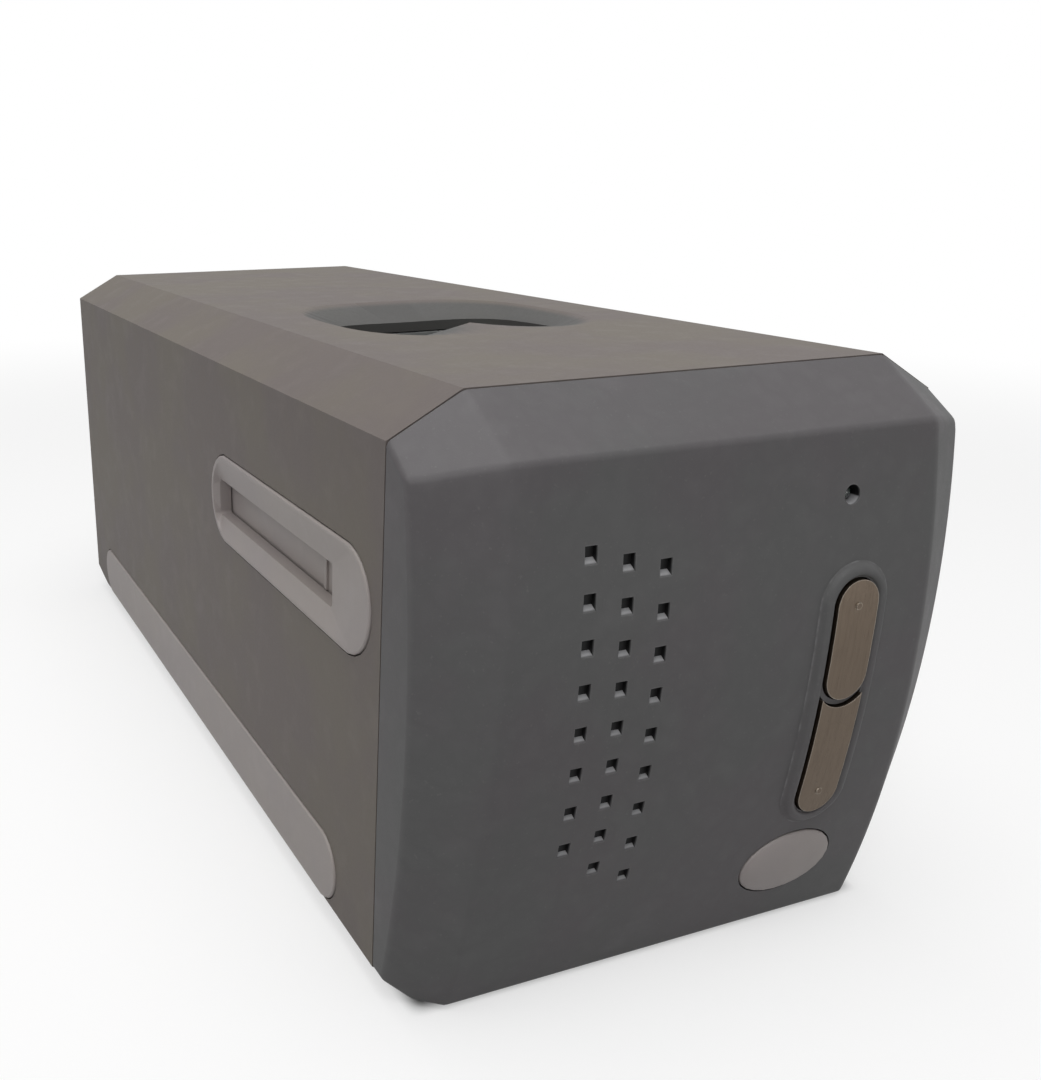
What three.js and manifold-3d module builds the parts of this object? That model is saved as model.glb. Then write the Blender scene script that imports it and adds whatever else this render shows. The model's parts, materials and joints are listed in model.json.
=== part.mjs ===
// Desktop scanner for 35 mm film negatives and mounted slides.
// Millimetres, X across the machine, Y from the front (minus) to the back, Z up.
// The origin is under the middle of the machine, on the surface that it stands on.
import * as THREE from 'three';
import { mergeVertices } from 'three/addons/utils/BufferGeometryUtils.js';
import Module from 'manifold-3d';

const wasm = await Module();
wasm.setup();

// Overall size, over the feet, the side trim and the front buttons
const width = 120.3;
const depth = 272;
const height = 118;

// Fits that every piece shares
const gap = 0.3;
const runningFit = 0.06;
const overrun = 1;
const arcSteps = 10;
const roundSteps = 24;

// Casing: walls, chamfers, bulged front and swept-up rear edge
const shellWall = 2.5;
const trimProud = 0.45;
const buttonProud = 1.3;
const footProud = 1.2;
const topChamferAcross = 14;
const topChamferDrop = 7.6;
const baseChamferAcross = 5.4;
const baseChamferRise = 4.1;
const frontRadius = 244.5;
const frontBulgeHeight = 62.6;
const frontChamferDrop = 9.7;
const facetAcross = 14.4;
const facetAcrossLow = 10.2;
const facetDepth = 7.8;
const bezelDepth = 18.9;
const lapLength = 5;
const lapWall = 1.2;
const sweepLength = 66;
const sweepRise = 7;

// Light grey skid strips low on both sides
const skidFromFront = 37;
const skidFromRear = 17.7;
const skidHeight = 16.3;
const skidLowEdge = 5.3;
const skidSink = 1;
const skidRound = 0.5;

// Film slots: dished bezels, their openings and the sprung dust flaps
const slotBezelLength = 92;
const slotBezelHeight = 21.8;
const slotBezelFromFront = 68.9;
const slotBezelHeightShare = 0.661;
const slotBezelRim = 1.3;
const slotBezelDish = 1.6;
const slotBezelRound = 0.5;
const slotBezelFlange = 1.2;
const slotBezelFlangeReach = 2;
const slotLength = 69.7;
const slotHeight = 9.2;
const slotBehindBezelCentre = 8.7;
const slotBelowBezelCentre = 1.1;
const slotCornerRadius = 1;
const flapThickness = 1.2;
const flapLap = 0.9;
const flapHinge = 2.6;
const flapBarrelRadius = 1.5;
const flapRibWidth = 1.2;
const flapRibProud = 0.5;
const flapRibFromEnd = 9;
const hingePinRadius = 0.7;
const hingeEarWidth = 3;
const hingeEarRadius = 2;
const flapSpringTurns = 4;
const flapSpringWire = 0.5;
const flapSpringPitch = 0.95;
const flapSpringRadius = 1.1;
const springSteps = 8;
const springSides = 3;

// Carrying handle well in the top: a shallow square-shouldered dish round the throat of a
// finger pocket, whose front lip dips and runs forward to both sides of a ridge in the middle
const wellHalfWidth = 32;
const wellHalfLength = 35.5;
const wellFromFront = 110.2;
const wellSquareness = 3;
const throatHalfWidth = 26;
const throatHalfLength = 21;
const throatAdvance = 0.5;
const throatSquareness = 3.4;
const throatFrontDrop = 2.4;
const throatRearDrop = 4;
const ridgeDrop = 0.2;
const ridgeHalfWidth = 19;
const ridgeSetback = 7;
const cupWall = 1.8;
const cupUndercut = 8;
const cupFloorShrink = 5;
const cupClear = 1.3;
const wellSteps = 60;

// Front face: square dimples in three columns, status light
const dimpleSize = 2.3;
const dimpleDepth = 1;
const dimpleFromSide = 29.4;
const dimpleColumnPitch = 7.6;
const dimplesFromTop = [25.2, 27.4, 29.2];
const dimplePitches = [8.1, 7.6, 7.85];
const dimpleCounts = [8, 9, 9];
const lightFromSide = 34.3;
const lightFromTop = 21.5;
const lightRadius = 1.5;
const lightRimRadius = 2.3;
const lightRimDepth = 0.8;
const lightRecess = 1.1;

// Scan buttons in their raised surround, and the oval power button
const scanButtonFromSide = 31.5;
const scanButtonWidth = 9.6;
const scanButtonFromTop = 37.2;
const scanButtonSpacing = 5.8;
const scanButtonSplitShare = 0.517;
const scanButtonGap = 1.6;
const pipRadius = 0.7;
const pipProud = 0.2;
const pipInset = 5;
const surroundRing = 2.6;
const surroundProud = 0.9;
const surroundDepth = 6;
const surroundFlange = 1.5;
const surroundRound = 0.8;
const powerFromSide = 32.6;
const powerZ = 17.5;
const powerWidth = 22.6;
const powerHeight = 15.6;
const powerDome = 1.3;
const powerDomeSteps = 6;
const powerDepth = 8.5;
const buttonTravel = 1;
const stemRadius = 2;
const lugReach = 0.9;
const lugThickness = 0.9;
const lugHeight = 6;

// Circuit board and switches behind the front
const boardThickness = 1.6;
const buttonBoardSetback = 15.6;
const buttonBoardFromSide = 17.7;
const buttonBoardWidth = 32;
const buttonBoardLow = 10;
const buttonBoardPastLight = 5.5;
const switchSize = 6.2;
const switchBody = 3.4;
const switchPlungerRadius = 1.7;
const switchPlunger = 1;
const boardBossRadius = 2.6;
const boardBossInset = 4;

// Base plate, feet and rear panel
const footRadius = 5;
const footSink = 0.5;
const footFromFront = 38;
const footFromRear = 74;
const footInset = 12;
const baseVentCount = 7;
const baseVentLength = 30;
const baseVentWidth = 2.4;
const baseVentPitch = 6;
const rearWall = 2;
const rearVentCount = 5;
const rearVentLength = 46;
const rearVentWidth = 2.2;
const rearVentPitch = 5.5;
const rearVentLowZ = 40;

// Chassis, guide rods, lead screw and motor
const chassisFromSide = 9.7;
const chassisFromFront = 30;
const chassisFromRear = 22.7;
const chassisFloorZ = 9;
const chassisFloor = 2;
const chassisRim = 6;
const chassisBossRadius = 5;
const chassisBossInset = 9;
const rodRadius = 2.5;
const rodFromChassisSide = 20;
const rodWallThickness = 6;
const rodWallPastRod = 8;
const rodWallAboveDrive = 10;
const rodWallSetback = 0.7;
const motorBay = 25.3;
const screwRadius = 2.5;
const motorRadius = 12.7;
const motorLength = 20;
const motorSocket = 4;
const boardPostRadius = 3;

// Film tunnel that joins the two slots
const flapSwingClear = 0.7;
const tunnelWall = 1.8;
const tunnelPlay = 0.5;
const tunnelLegWidth = 1.8;
const windowLength = 38;
const windowPastTravel = 10;
const legArchInset = 10;

// Scan carriage: deck, mast, lamp arm, mirror, lens and image sensor
const carriageTravel = 26;
const opticHeightShare = 0.4;
const deckThickness = 3;
const deckClear = 2;
const deckFrontClear = 8;
const deckRearClear = 2;
const sleeveLength = 12;
const sleeveWall = 2.5;
const nutLength = 14;
const mastClear = 2.95;
const mastThickness = 8;
const mastWindowClear = 2;
const armClear = 2.6;
const armThickness = 6.5;
const armHeadRim = 3;
const armHeadLength = 20;
const lampRadius = 1.5;
const lampPastWindow = 5;
const lampPocketHalfWidth = 4;
const lampPocketDepth = 4.5;
const diffuserThickness = 1;
const mirrorPastWindow = 1;
const mirrorReachShare = 0.6;
const mirrorThickness = 2;
const mirrorBlockShare = 0.91;
const lensRadiusShare = 0.71;
const lensFrontShare = 0.07;
const lensLengthShare = 0.5;
const lensWall = 3;
const lensGlassSetback = 2;
const lensGlassThicknessShare = 0.315;
const lensBulgeShare = 2.02;
const cradleInsetShare = 0.2;
const cradleWall = 4;
const sensorSetback = 10;
const sensorHalfWidth = 24;
const sensorHeight = 9;
const sensorThickness = 3.2;
const sensorBoardRim = 4;
const sensorBracketThickness = 3;

// Main circuit board and the two sockets at the rear
const mainBoardFromTop = 28;
const mainBoardFrontClear = 9;
const mainBoardRearClear = 5.2;
const mainBoardPostInset = 6;
const dataSocketX = -14;
const dataSocketWidth = 12;
const dataSocketHeight = 11;
const dataSocketLength = 16;
const dataSocketMouthWidth = 8.4;
const dataSocketMouthHeight = 7.7;
const dataSocketMouthDepth = 9;
const dataSocketTongue = 3.2;
const powerSocketX = 14;
const powerSocketWidth = 9;
const powerSocketHeight = 11;
const powerSocketLength = 14;
const powerSocketBore = 3.1;
const powerSocketPin = 0.9;
const powerSocketMouthDepth = 9;

// Places worked out from the sizes above
const halfWidth = width / 2 - trimProud;
const frontY = -depth / 2 + buttonProud;
const rearY = depth / 2;
const baseZ = footProud;
const topZ = height;
const seamY = frontY + bezelDepth;
const creaseZ = topZ - frontChamferDrop;
const sweepStartY = rearY - sweepLength;
const sweepRadius = (sweepLength ** 2 + sweepRise ** 2) / (2 * sweepRise);
const floorTop = chassisFloorZ + chassisFloor;
const innerFloorZ = baseZ + shellWall;
const slotBezelCentreY = frontY + slotBezelFromFront;
const slotBezelCentreZ = slotBezelHeightShare * topZ;
const slotCentreY = slotBezelCentreY + slotBehindBezelCentre;
const slotCentreZ = slotBezelCentreZ - slotBelowBezelCentre;
const wellCentreY = frontY + wellFromFront;
const lightX = halfWidth - lightFromSide;
const lightZ = topZ - lightFromTop;
const scanButtonX = halfWidth - scanButtonFromSide;
const scanButtonTopZ = topZ - scanButtonFromTop;
const scanButtonLowZ = powerZ + powerHeight / 2 + scanButtonSpacing;
const scanButtonSplitZ = THREE.MathUtils.lerp(
  scanButtonLowZ, scanButtonTopZ, scanButtonSplitShare,
);
const powerX = halfWidth - powerFromSide;
const chassisHalfWidth = halfWidth - chassisFromSide;
const chassisY0 = frontY + chassisFromFront;
const chassisY1 = rearY - chassisFromRear;
const driveZ = floorTop + gap + motorRadius;
const rodHalfSpacing = chassisHalfWidth - rodFromChassisSide;
const rodWallFrontY = chassisY0 + rodWallSetback;
const rodWallRearY = chassisY1 - motorBay;
const frontArcY = (z, inset = 0) => frontY + frontRadius
  - Math.sqrt((frontRadius - inset) ** 2 - (z - frontBulgeHeight) ** 2);

// Finishes
const finish = (color, roughness, metalness = 0) =>
  new THREE.MeshStandardMaterial({ color, roughness, metalness });
const finishes = {
  shell: finish(0x5f5953, 0.55),
  front: finish(0x4b4a4b, 0.5),
  trim: finish(0xa39a96, 0.5),
  base: finish(0x2b2b2c, 0.7),
  well: finish(0x4a4b4a, 0.6),
  metal: finish(0x8a8076, 0.35, 1),
  steel: finish(0xb8babd, 0.25, 1),
  rubber: finish(0x161616, 0.9),
  frame: finish(0x1c1d1f, 0.75),
  board: finish(0x1d5a3a, 0.5),
  chip: finish(0x18181a, 0.4),
  glass: finish(0xcfd8dc, 0.05),
  mirror: finish(0xe6eaee, 0.03, 1),
  lamp: finish(0xf4f3ea, 0.3),
  alloy: finish(0x9da0a3, 0.45, 1),
};

const scanner = new THREE.Group();

function addPiece(name, solid, material) {
  const part = new THREE.Mesh(toGeometry(solid), material);
  part.name = name;
  scanner.add(part);
  return part;
}

// Solids: closed geometries turned into manifolds, and back again
function toSolid(geometry) {
  const bare = geometry.clone();
  bare.deleteAttribute('normal');
  bare.deleteAttribute('uv');
  const merged = mergeVertices(bare, 1e-5);
  const vertProperties = new Float32Array(merged.attributes.position.array);
  const triVerts = new Uint32Array(merged.index.array);
  return new wasm.Manifold(new wasm.Mesh({ numProp: 3, vertProperties, triVerts }));
}

function toGeometry(solid) {
  const mesh = solid.getMesh();
  const geometry = new THREE.BufferGeometry();
  geometry.setAttribute('position', new THREE.BufferAttribute(mesh.vertProperties, 3));
  geometry.setIndex(new THREE.BufferAttribute(mesh.triVerts, 1));
  const faceted = geometry.toNonIndexed();
  faceted.computeVertexNormals();
  return faceted;
}

const join = (first, ...others) => others.reduce((sum, other) => sum.add(other), first);
const cut = (first, ...others) => others.reduce((rest, other) => rest.subtract(other), first);
const common = (first, ...others) => others.reduce((rest, other) => rest.intersect(other), first);

// A box between two corners
function block(x0, x1, y0, y1, z0, z1) {
  const geometry = new THREE.BoxGeometry(x1 - x0, y1 - y0, z1 - z0);
  geometry.translate((x0 + x1) / 2, (y0 + y1) / 2, (z0 + z1) / 2);
  return toSolid(geometry);
}

function extrude(shape, length, options = {}) {
  return new THREE.ExtrudeGeometry(shape, {
    depth: length, steps: 1, curveSegments: arcSteps, bevelEnabled: false, ...options,
  });
}

// Prisms: an outline in (y, z), (x, z) or (x, y) carried along the third axis
function prismX(shape, x0, x1, options) {
  const geometry = extrude(shape, x1 - x0, options);
  const turn = new THREE.Matrix4().makeBasis(
    new THREE.Vector3(0, 1, 0), new THREE.Vector3(0, 0, 1), new THREE.Vector3(1, 0, 0),
  );
  geometry.applyMatrix4(turn);
  geometry.translate(x0, 0, 0);
  return geometry;
}

function prismY(shape, y0, y1, options) {
  const geometry = extrude(shape, y1 - y0, options);
  geometry.rotateX(Math.PI / 2);
  geometry.translate(0, y1, 0);
  return geometry;
}

function prismZ(shape, z0, z1) {
  const geometry = extrude(shape, z1 - z0);
  geometry.translate(0, 0, z0);
  return geometry;
}

function rod(radius, y0, y1, x, z, steps = roundSteps) {
  const geometry = new THREE.CylinderGeometry(radius, radius, y1 - y0, steps);
  geometry.translate(x, (y0 + y1) / 2, z);
  return toSolid(geometry);
}

function post(radius, z0, z1, x, y, steps = roundSteps) {
  const geometry = new THREE.CylinderGeometry(radius, radius, z1 - z0, steps);
  geometry.rotateX(Math.PI / 2);
  geometry.translate(x, y, (z0 + z1) / 2);
  return toSolid(geometry);
}

// A closed skin over loops of points, each loop with as many points as the next
function loft(loops) {
  const count = loops[0].length;
  const positions = [];
  const indices = [];
  const push = (point) => positions.push(point.x, point.y, point.z);
  loops.forEach((loop) => loop.forEach(push));
  const middle = (loop) => loop
    .reduce((sum, point) => sum.clone().add(point), new THREE.Vector3())
    .divideScalar(count);
  push(middle(loops[0]));
  push(middle(loops[loops.length - 1]));
  const first = loops.length * count;
  for (let i = 0; i < count; i += 1) {
    const next = (i + 1) % count;
    for (let level = 0; level < loops.length - 1; level += 1) {
      const low = level * count;
      const high = low + count;
      indices.push(low + i, low + next, high + next, low + i, high + next, high + i);
    }
    const top = (loops.length - 1) * count;
    indices.push(first, next, i, first + 1, top + i, top + next);
  }
  const geometry = new THREE.BufferGeometry();
  geometry.setAttribute('position', new THREE.Float32BufferAttribute(positions, 3));
  geometry.setIndex(indices);
  const solid = toSolid(geometry);
  if (solid.volume() > 0) return solid;
  geometry.setIndex(indices.reverse());
  return toSolid(geometry);
}

// Everything on the outer side of a plane, moved inwards by an inset
function beyondPlane(point, normal, inset) {
  const reach = depth * 2;
  const geometry = new THREE.BoxGeometry(reach, reach, reach);
  geometry.translate(0, 0, reach / 2 - inset);
  const turn = new THREE.Quaternion().setFromUnitVectors(new THREE.Vector3(0, 0, 1), normal);
  geometry.applyQuaternion(turn);
  geometry.translate(point.x, point.y, point.z);
  return toSolid(geometry);
}

// A convex outline, points counterclockwise, with every edge moved inwards
function insetOutline(points, inset) {
  const edges = points.map((point, i) => {
    const next = points[(i + 1) % points.length];
    const along = next.clone().sub(point).normalize();
    const start = point.clone().add(new THREE.Vector2(-along.y, along.x).multiplyScalar(inset));
    return { start, along };
  });
  const corners = edges.map((edge, i) => {
    const before = edges[(i + edges.length - 1) % edges.length];
    const between = edge.start.clone().sub(before.start);
    const travel = between.cross(edge.along) / before.along.cross(edge.along);
    return before.start.clone().add(before.along.clone().multiplyScalar(travel));
  });
  return new THREE.Shape(corners);
}

// A rectangle with round corners as a loop of points, one for each direction that it faces
function roundedLoop(centreU, centreV, length, breadth, radius, steps = roundSteps) {
  const u = length / 2 - radius;
  const v = breadth / 2 - radius;
  return Array.from({ length: steps }, (_, i) => {
    const angle = ((i + 1 / 2) / steps) * Math.PI * 2;
    const facing = new THREE.Vector2(Math.cos(angle), Math.sin(angle));
    return new THREE.Vector2(
      centreU + Math.sign(facing.x) * u + radius * facing.x,
      centreV + Math.sign(facing.y) * v + radius * facing.y,
    );
  });
}

// Straight-sided loops with round ends
function stadiumLoop(centreU, centreV, length, breadth) {
  return roundedLoop(centreU, centreV, length, breadth, Math.min(length, breadth) / 2);
}

// The casing seen from the front: chamfered along the top and the base
function casingOutline() {
  const topHalf = halfWidth - topChamferAcross;
  const baseHalf = halfWidth - baseChamferAcross;
  return [
    new THREE.Vector2(-baseHalf, baseZ),
    new THREE.Vector2(baseHalf, baseZ),
    new THREE.Vector2(halfWidth, baseZ + baseChamferRise),
    new THREE.Vector2(halfWidth, topZ - topChamferDrop),
    new THREE.Vector2(topHalf, topZ),
    new THREE.Vector2(-topHalf, topZ),
    new THREE.Vector2(-halfWidth, topZ - topChamferDrop),
    new THREE.Vector2(-halfWidth, baseZ + baseChamferRise),
  ];
}

// The casing seen from the side: bulged front, flat top, rear edge swept up
function casingProfile(inset) {
  const radius = frontRadius - inset;
  const low = baseZ + inset;
  const high = topZ - inset;
  const angleAt = (z) => Math.PI - Math.asin((z - frontBulgeHeight) / radius);
  const shape = new THREE.Shape();
  shape.absarc(frontY + frontRadius, frontBulgeHeight, radius, angleAt(low), angleAt(high), true);
  shape.lineTo(rearY - inset, high);
  const sweep = Math.asin((rearY - inset - sweepStartY) / (sweepRadius - inset));
  shape.absarc(
    sweepStartY, baseZ + sweepRadius, sweepRadius - inset, sweep - Math.PI / 2, -Math.PI / 2, true,
  );
  return shape;
}

// Width of the upright facets, which narrow towards the base
const facetAcrossAt = (z) => THREE.MathUtils.mapLinear(
  z, baseZ, creaseZ, facetAcrossLow, facetAcross,
);

// What lies in front of one of the two upright facets beside the front face
function facetCutter(side, inset) {
  const radius = frontRadius - inset;
  const low = baseZ - overrun;
  const high = topZ + overrun;
  const angleAt = (z) => Math.PI - Math.asin((z - frontBulgeHeight) / radius);
  const shape = new THREE.Shape();
  shape.absarc(frontY + frontRadius, frontBulgeHeight, radius, angleAt(low), angleAt(high), true);
  const ahead = frontY - bezelDepth;
  shape.lineTo(ahead, high);
  shape.lineTo(ahead, low);
  const outer = halfWidth + overrun;
  const geometry = side > 0 ? prismX(shape, 0, outer) : prismX(shape, -outer, 0);
  const places = geometry.attributes.position;
  for (let i = 0; i < places.count; i += 1) {
    const across = facetAcrossAt(places.getZ(i));
    const slope = facetDepth / across;
    const creaseX = halfWidth - across - inset * Math.tan(Math.atan(slope) / 2);
    const x = Math.abs(places.getX(i)) > outer / 2 ? outer : creaseX - overrun;
    places.setXYZ(i, side * x, places.getY(i) + slope * (x - creaseX), places.getZ(i));
  }
  return toSolid(geometry);
}

// The whole outer form of the machine, with every face moved inwards by an inset
function casing(inset) {
  const reach = halfWidth + overrun;
  let form = common(
    toSolid(prismX(casingProfile(inset), -reach, reach)),
    toSolid(prismY(insetOutline(casingOutline(), inset), -depth, depth)),
  );
  const creaseY = frontArcY(creaseZ);
  const slope = new THREE.Vector3(0, creaseZ - topZ, seamY - creaseY).normalize();
  form = cut(form, beyondPlane(new THREE.Vector3(0, seamY, topZ), slope, inset));
  [-1, 1].forEach((side) => {
    const low = new THREE.Vector3(side * halfWidth, seamY, topZ - topChamferDrop);
    const high = new THREE.Vector3(side * (halfWidth - topChamferAcross), seamY, topZ);
    const front = new THREE.Vector3(side * (halfWidth - facetAcross), creaseY, creaseZ);
    const normal = high.clone().sub(low).cross(front.clone().sub(low)).normalize();
    if (normal.z < 0) normal.negate();
    form = cut(form, facetCutter(side, inset), beyondPlane(high, normal, inset));
  });
  return form;
}

// A slice of the machine between two places along its length
const slab = (y0, y1) => block(-width, width, y0, y1, -height, height * 2);

const outerForm = casing(0);
const innerForm = casing(shellWall);
const innerOutline = insetOutline(casingOutline(), shellWall);

// Outlines that several pieces follow, grown or shrunk all round
const skidY0 = frontY + skidFromFront;
const skidY1 = rearY - skidFromRear;
const skidOutline = (grow) => stadiumLoop(
  (skidY0 + skidY1) / 2, skidLowEdge + skidHeight / 2,
  skidY1 - skidY0 + 2 * grow, skidHeight + 2 * grow,
);
const slotBezelOutline = (grow) => stadiumLoop(
  slotBezelCentreY, slotBezelCentreZ, slotBezelLength + 2 * grow, slotBezelHeight + 2 * grow,
);
const slotOutline = (grow) => roundedLoop(
  slotCentreY, slotCentreZ, slotLength + 2 * grow, slotHeight + 2 * grow, slotCornerRadius,
);
const surroundOutline = (grow) => stadiumLoop(
  scanButtonX, (scanButtonTopZ + scanButtonLowZ) / 2,
  scanButtonWidth + 2 * (surroundRing + grow),
  scanButtonTopZ - scanButtonLowZ + 2 * (surroundRing + grow),
);
const powerOutline = (grow) => new THREE.EllipseCurve(
  powerX, powerZ, powerWidth / 2 + grow, powerHeight / 2 + grow,
).getPoints(roundSteps).slice(0, roundSteps);

const slotY0 = slotCentreY - slotLength / 2;
const slotY1 = slotCentreY + slotLength / 2;
const slotZ0 = slotCentreZ - slotHeight / 2;
const slotZ1 = slotCentreZ + slotHeight / 2;
const trimX = halfWidth + trimProud;

// A skin over one outline seen from the side, at stations along X
function loftX(outline, stations) {
  return loft(stations.map(({ at, grow }) => outline(grow)
    .map((point) => new THREE.Vector3(at, point.x, point.y))));
}

// A skin over one outline seen from the front: a flat back, then a face that
// follows the bulge of the casing, each station standing proud of it
function loftFace(outline, back, stations) {
  const backLoop = outline(stations[0].grow)
    .map((point) => new THREE.Vector3(point.x, back, point.y));
  return loft([backLoop, ...stations.map(({ grow, proud }) => outline(grow)
    .map((point) => new THREE.Vector3(point.x, frontArcY(point.y, -proud), point.y)))]);
}

// Stations of a rounded edge: from the full outline to one that is smaller by the radius
function roundedEdge(radius, steps = 3) {
  return Array.from({ length: steps + 1 }, (_, i) => {
    const angle = (i / steps) * Math.PI / 2;
    return { back: radius * (1 - Math.sin(angle)), grow: -radius * (1 - Math.cos(angle)) };
  });
}

// The same piece on the other side of the machine
function mirrored(solid) {
  const geometry = toGeometry(solid);
  geometry.scale(-1, 1, 1);
  const merged = mergeVertices(geometry, 1e-5);
  const index = Array.from(merged.index.array).reverse();
  merged.setIndex(index);
  return toSolid(merged);
}

function addBothSides(name, solid, material) {
  addPiece(`${name}_right`, solid, material);
  addPiece(`${name}_left`, mirrored(solid), material);
}

// How much of the ridge there is at a place along the front lip: all of it in the middle
const ridgeAt = (x, sin) => (sin < 0 ? Math.max(0, 1 - Math.abs(x) / ridgeHalfWidth) : 0);

// A square-shouldered oval as a loop of points, one for each direction from its middle
function squareOval(halfX, halfY, centreY, squareness, zAt, setback = 0) {
  return Array.from({ length: wellSteps }, (_, i) => {
    const angle = (i / wellSteps) * Math.PI * 2;
    const cos = Math.cos(angle);
    const sin = Math.sin(angle);
    const reach = (Math.abs(cos / halfX) ** squareness + Math.abs(sin / halfY) ** squareness)
      ** (-1 / squareness);
    const x = reach * cos;
    const y = centreY + reach * sin + setback * ridgeAt(x, sin);
    return new THREE.Vector3(x, y, zAt(x, sin));
  });
}

// How far the edge of the throat lies below the top: most at the rear, less at the
// front, and hardly at all on the ridge in the middle of the front lip
function throatDrop(x, sin) {
  const drop = THREE.MathUtils.mapLinear(sin, -1, 1, throatFrontDrop, throatRearDrop);
  return THREE.MathUtils.lerp(drop, ridgeDrop, ridgeAt(x, sin));
}

const throatCentreY = wellCentreY - throatAdvance;
const deepestDrop = Math.max(throatFrontDrop, throatRearDrop);
const rimLoop = (grow, z) => squareOval(
  wellHalfWidth + grow, wellHalfLength + grow, wellCentreY, wellSquareness, () => z,
);
const throatLoop = (zAt) => squareOval(
  throatHalfWidth, throatHalfLength, throatCentreY, throatSquareness, zAt, ridgeSetback,
);

// Main shell: sides, top and rear rim in one moulding, open in front and below
function makeMainShell() {
  const baseHalf = halfWidth - baseChamferAcross;
  let shell = common(outerForm, slab(seamY + gap / 2, rearY + overrun));
  shell = cut(
    shell,
    toSolid(prismY(innerOutline, frontY, rearY + overrun)),
    block(-baseHalf, baseHalf, frontY, rearY + overrun, -overrun, innerFloorZ + overrun),
    toSolid(prismX(new THREE.Shape(slotBezelOutline(gap)), -width, width)),
  );
  const inner = halfWidth - skidSink;
  const pocket = new THREE.Shape(skidOutline(gap));
  shell = cut(shell, toSolid(prismX(pocket, inner, width)), toSolid(prismX(pocket, -width, -inner)));
  const wallUnderDish = loft([
    throatLoop((x, sin) => topZ - throatDrop(x, sin) - shellWall),
    rimLoop(shellWall, topZ - shellWall),
    rimLoop(shellWall, topZ - shellWall / 2),
  ]);
  const dish = loft([
    throatLoop(() => topZ - deepestDrop - shellWall - overrun),
    throatLoop((x, sin) => topZ - throatDrop(x, sin)),
    rimLoop(0, topZ),
    rimLoop(0, topZ + overrun),
  ]);
  return cut(join(shell, wallUnderDish), dish);
}

// Handle cup: the finger pocket under the throat, which reaches forward below the front lip
function makeHandleCup() {
  const level = (grow, undercut, zAt) => squareOval(
    throatHalfWidth + grow, throatHalfLength + undercut / 2 + grow,
    throatCentreY - undercut / 2, throatSquareness, zAt,
  );
  const floor = armZ1 + cupClear + cupWall;
  const middle = (floor + topZ) / 2;
  const rim = (x, sin) => topZ - throatDrop(x, sin) - shellWall - gap;
  const outside = loft([
    level(cupWall - cupFloorShrink, cupUndercut / 2, () => floor - cupWall),
    level(cupWall, cupUndercut, () => middle),
    level(cupWall, cupUndercut, rim),
  ]);
  const inside = loft([
    level(-cupFloorShrink, cupUndercut / 2, () => floor),
    level(0, cupUndercut, () => middle),
    level(0, cupUndercut, () => topZ),
  ]);
  return cut(outside, inside);
}

// Front bezel: bulged face with its facets, dimples, openings, lap joint and board bosses
function makeFrontBezel() {
  const lapInset = shellWall + gap;
  const lapCore = casing(lapInset + lapWall);
  let bezel = common(outerForm, slab(frontY - overrun, seamY - gap / 2));
  bezel = cut(bezel, common(innerForm, slab(frontY - overrun, seamY - lapLength)), lapCore);
  bezel = join(bezel, cut(common(casing(lapInset), slab(seamY - gap, seamY + lapLength)), lapCore));
  boardBossPlaces.forEach(({ x, z }) => {
    const boss = rod(boardBossRadius, frontY, buttonBoardY - gap, x, z);
    bezel = join(bezel, common(boss, casing(shellWall / 2)));
  });
  const flangeRoom = slotBezelOutline(slotBezelFlangeReach + gap);
  return cut(
    bezel, ...dimpleCutters(), ...frontOpenings(),
    toSolid(prismX(new THREE.Shape(flangeRoom), -width, width)),
  );
}

const buttonBoardY = frontY + buttonBoardSetback;
const buttonBoardX1 = halfWidth - buttonBoardFromSide;
const buttonBoardX0 = buttonBoardX1 - buttonBoardWidth;
const buttonBoardTop = lightZ + buttonBoardPastLight;
const boardBossPlaces = [
  { x: buttonBoardX0 + boardBossInset, z: powerZ + powerHeight },
  { x: buttonBoardX0 + boardBossInset, z: buttonBoardTop - boardBossInset },
  { x: buttonBoardX1 - boardBossInset, z: buttonBoardTop - boardBossInset },
];

function dimpleCutters() {
  const half = dimpleSize / 2;
  return dimpleCounts.flatMap((count, column) => Array.from({ length: count }, (_, row) => {
    const x = -halfWidth + dimpleFromSide + column * dimpleColumnPitch;
    const z = topZ - dimplesFromTop[column] - row * dimplePitches[column];
    const face = frontArcY(z);
    return block(x - half, x + half, face - overrun, face + dimpleDepth, z - half, z + half);
  }));
}

function frontOpenings() {
  const face = frontArcY(lightZ);
  const countersink = new THREE.CylinderGeometry(
    lightRadius, 2 * lightRimRadius - lightRadius, 2 * lightRimDepth, roundSteps,
  );
  countersink.translate(lightX, face, lightZ);
  const through = (outline) => toSolid(prismY(
    new THREE.Shape(outline), frontY - buttonProud - overrun, seamY,
  ));
  return [
    rod(lightRadius + gap, frontY - overrun, seamY, lightX, lightZ),
    toSolid(countersink),
    through(surroundOutline(gap)),
    through(powerOutline(gap)),
  ];
}

// Outlines of the two scan buttons: one long stadium split by a curved gap
function scanButtonOutlines(grow) {
  const radius = scanButtonWidth / 2 + grow;
  const high = scanButtonTopZ - scanButtonWidth / 2;
  const low = scanButtonLowZ + scanButtonWidth / 2;
  const split = scanButtonSplitZ + scanButtonWidth / 2;
  const upper = new THREE.Shape();
  upper.absarc(scanButtonX, high, radius, 0, Math.PI, false);
  upper.absarc(scanButtonX, split, radius, Math.PI, Math.PI * 2, false);
  const bowl = scanButtonWidth / 2 + scanButtonGap - grow;
  const horn = Math.acos(radius / bowl);
  const lower = new THREE.Shape();
  lower.absarc(scanButtonX, low, radius, Math.PI, Math.PI * 2, false);
  lower.absarc(scanButtonX, split, bowl, -horn, horn - Math.PI, true);
  return { upper, lower };
}

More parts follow.
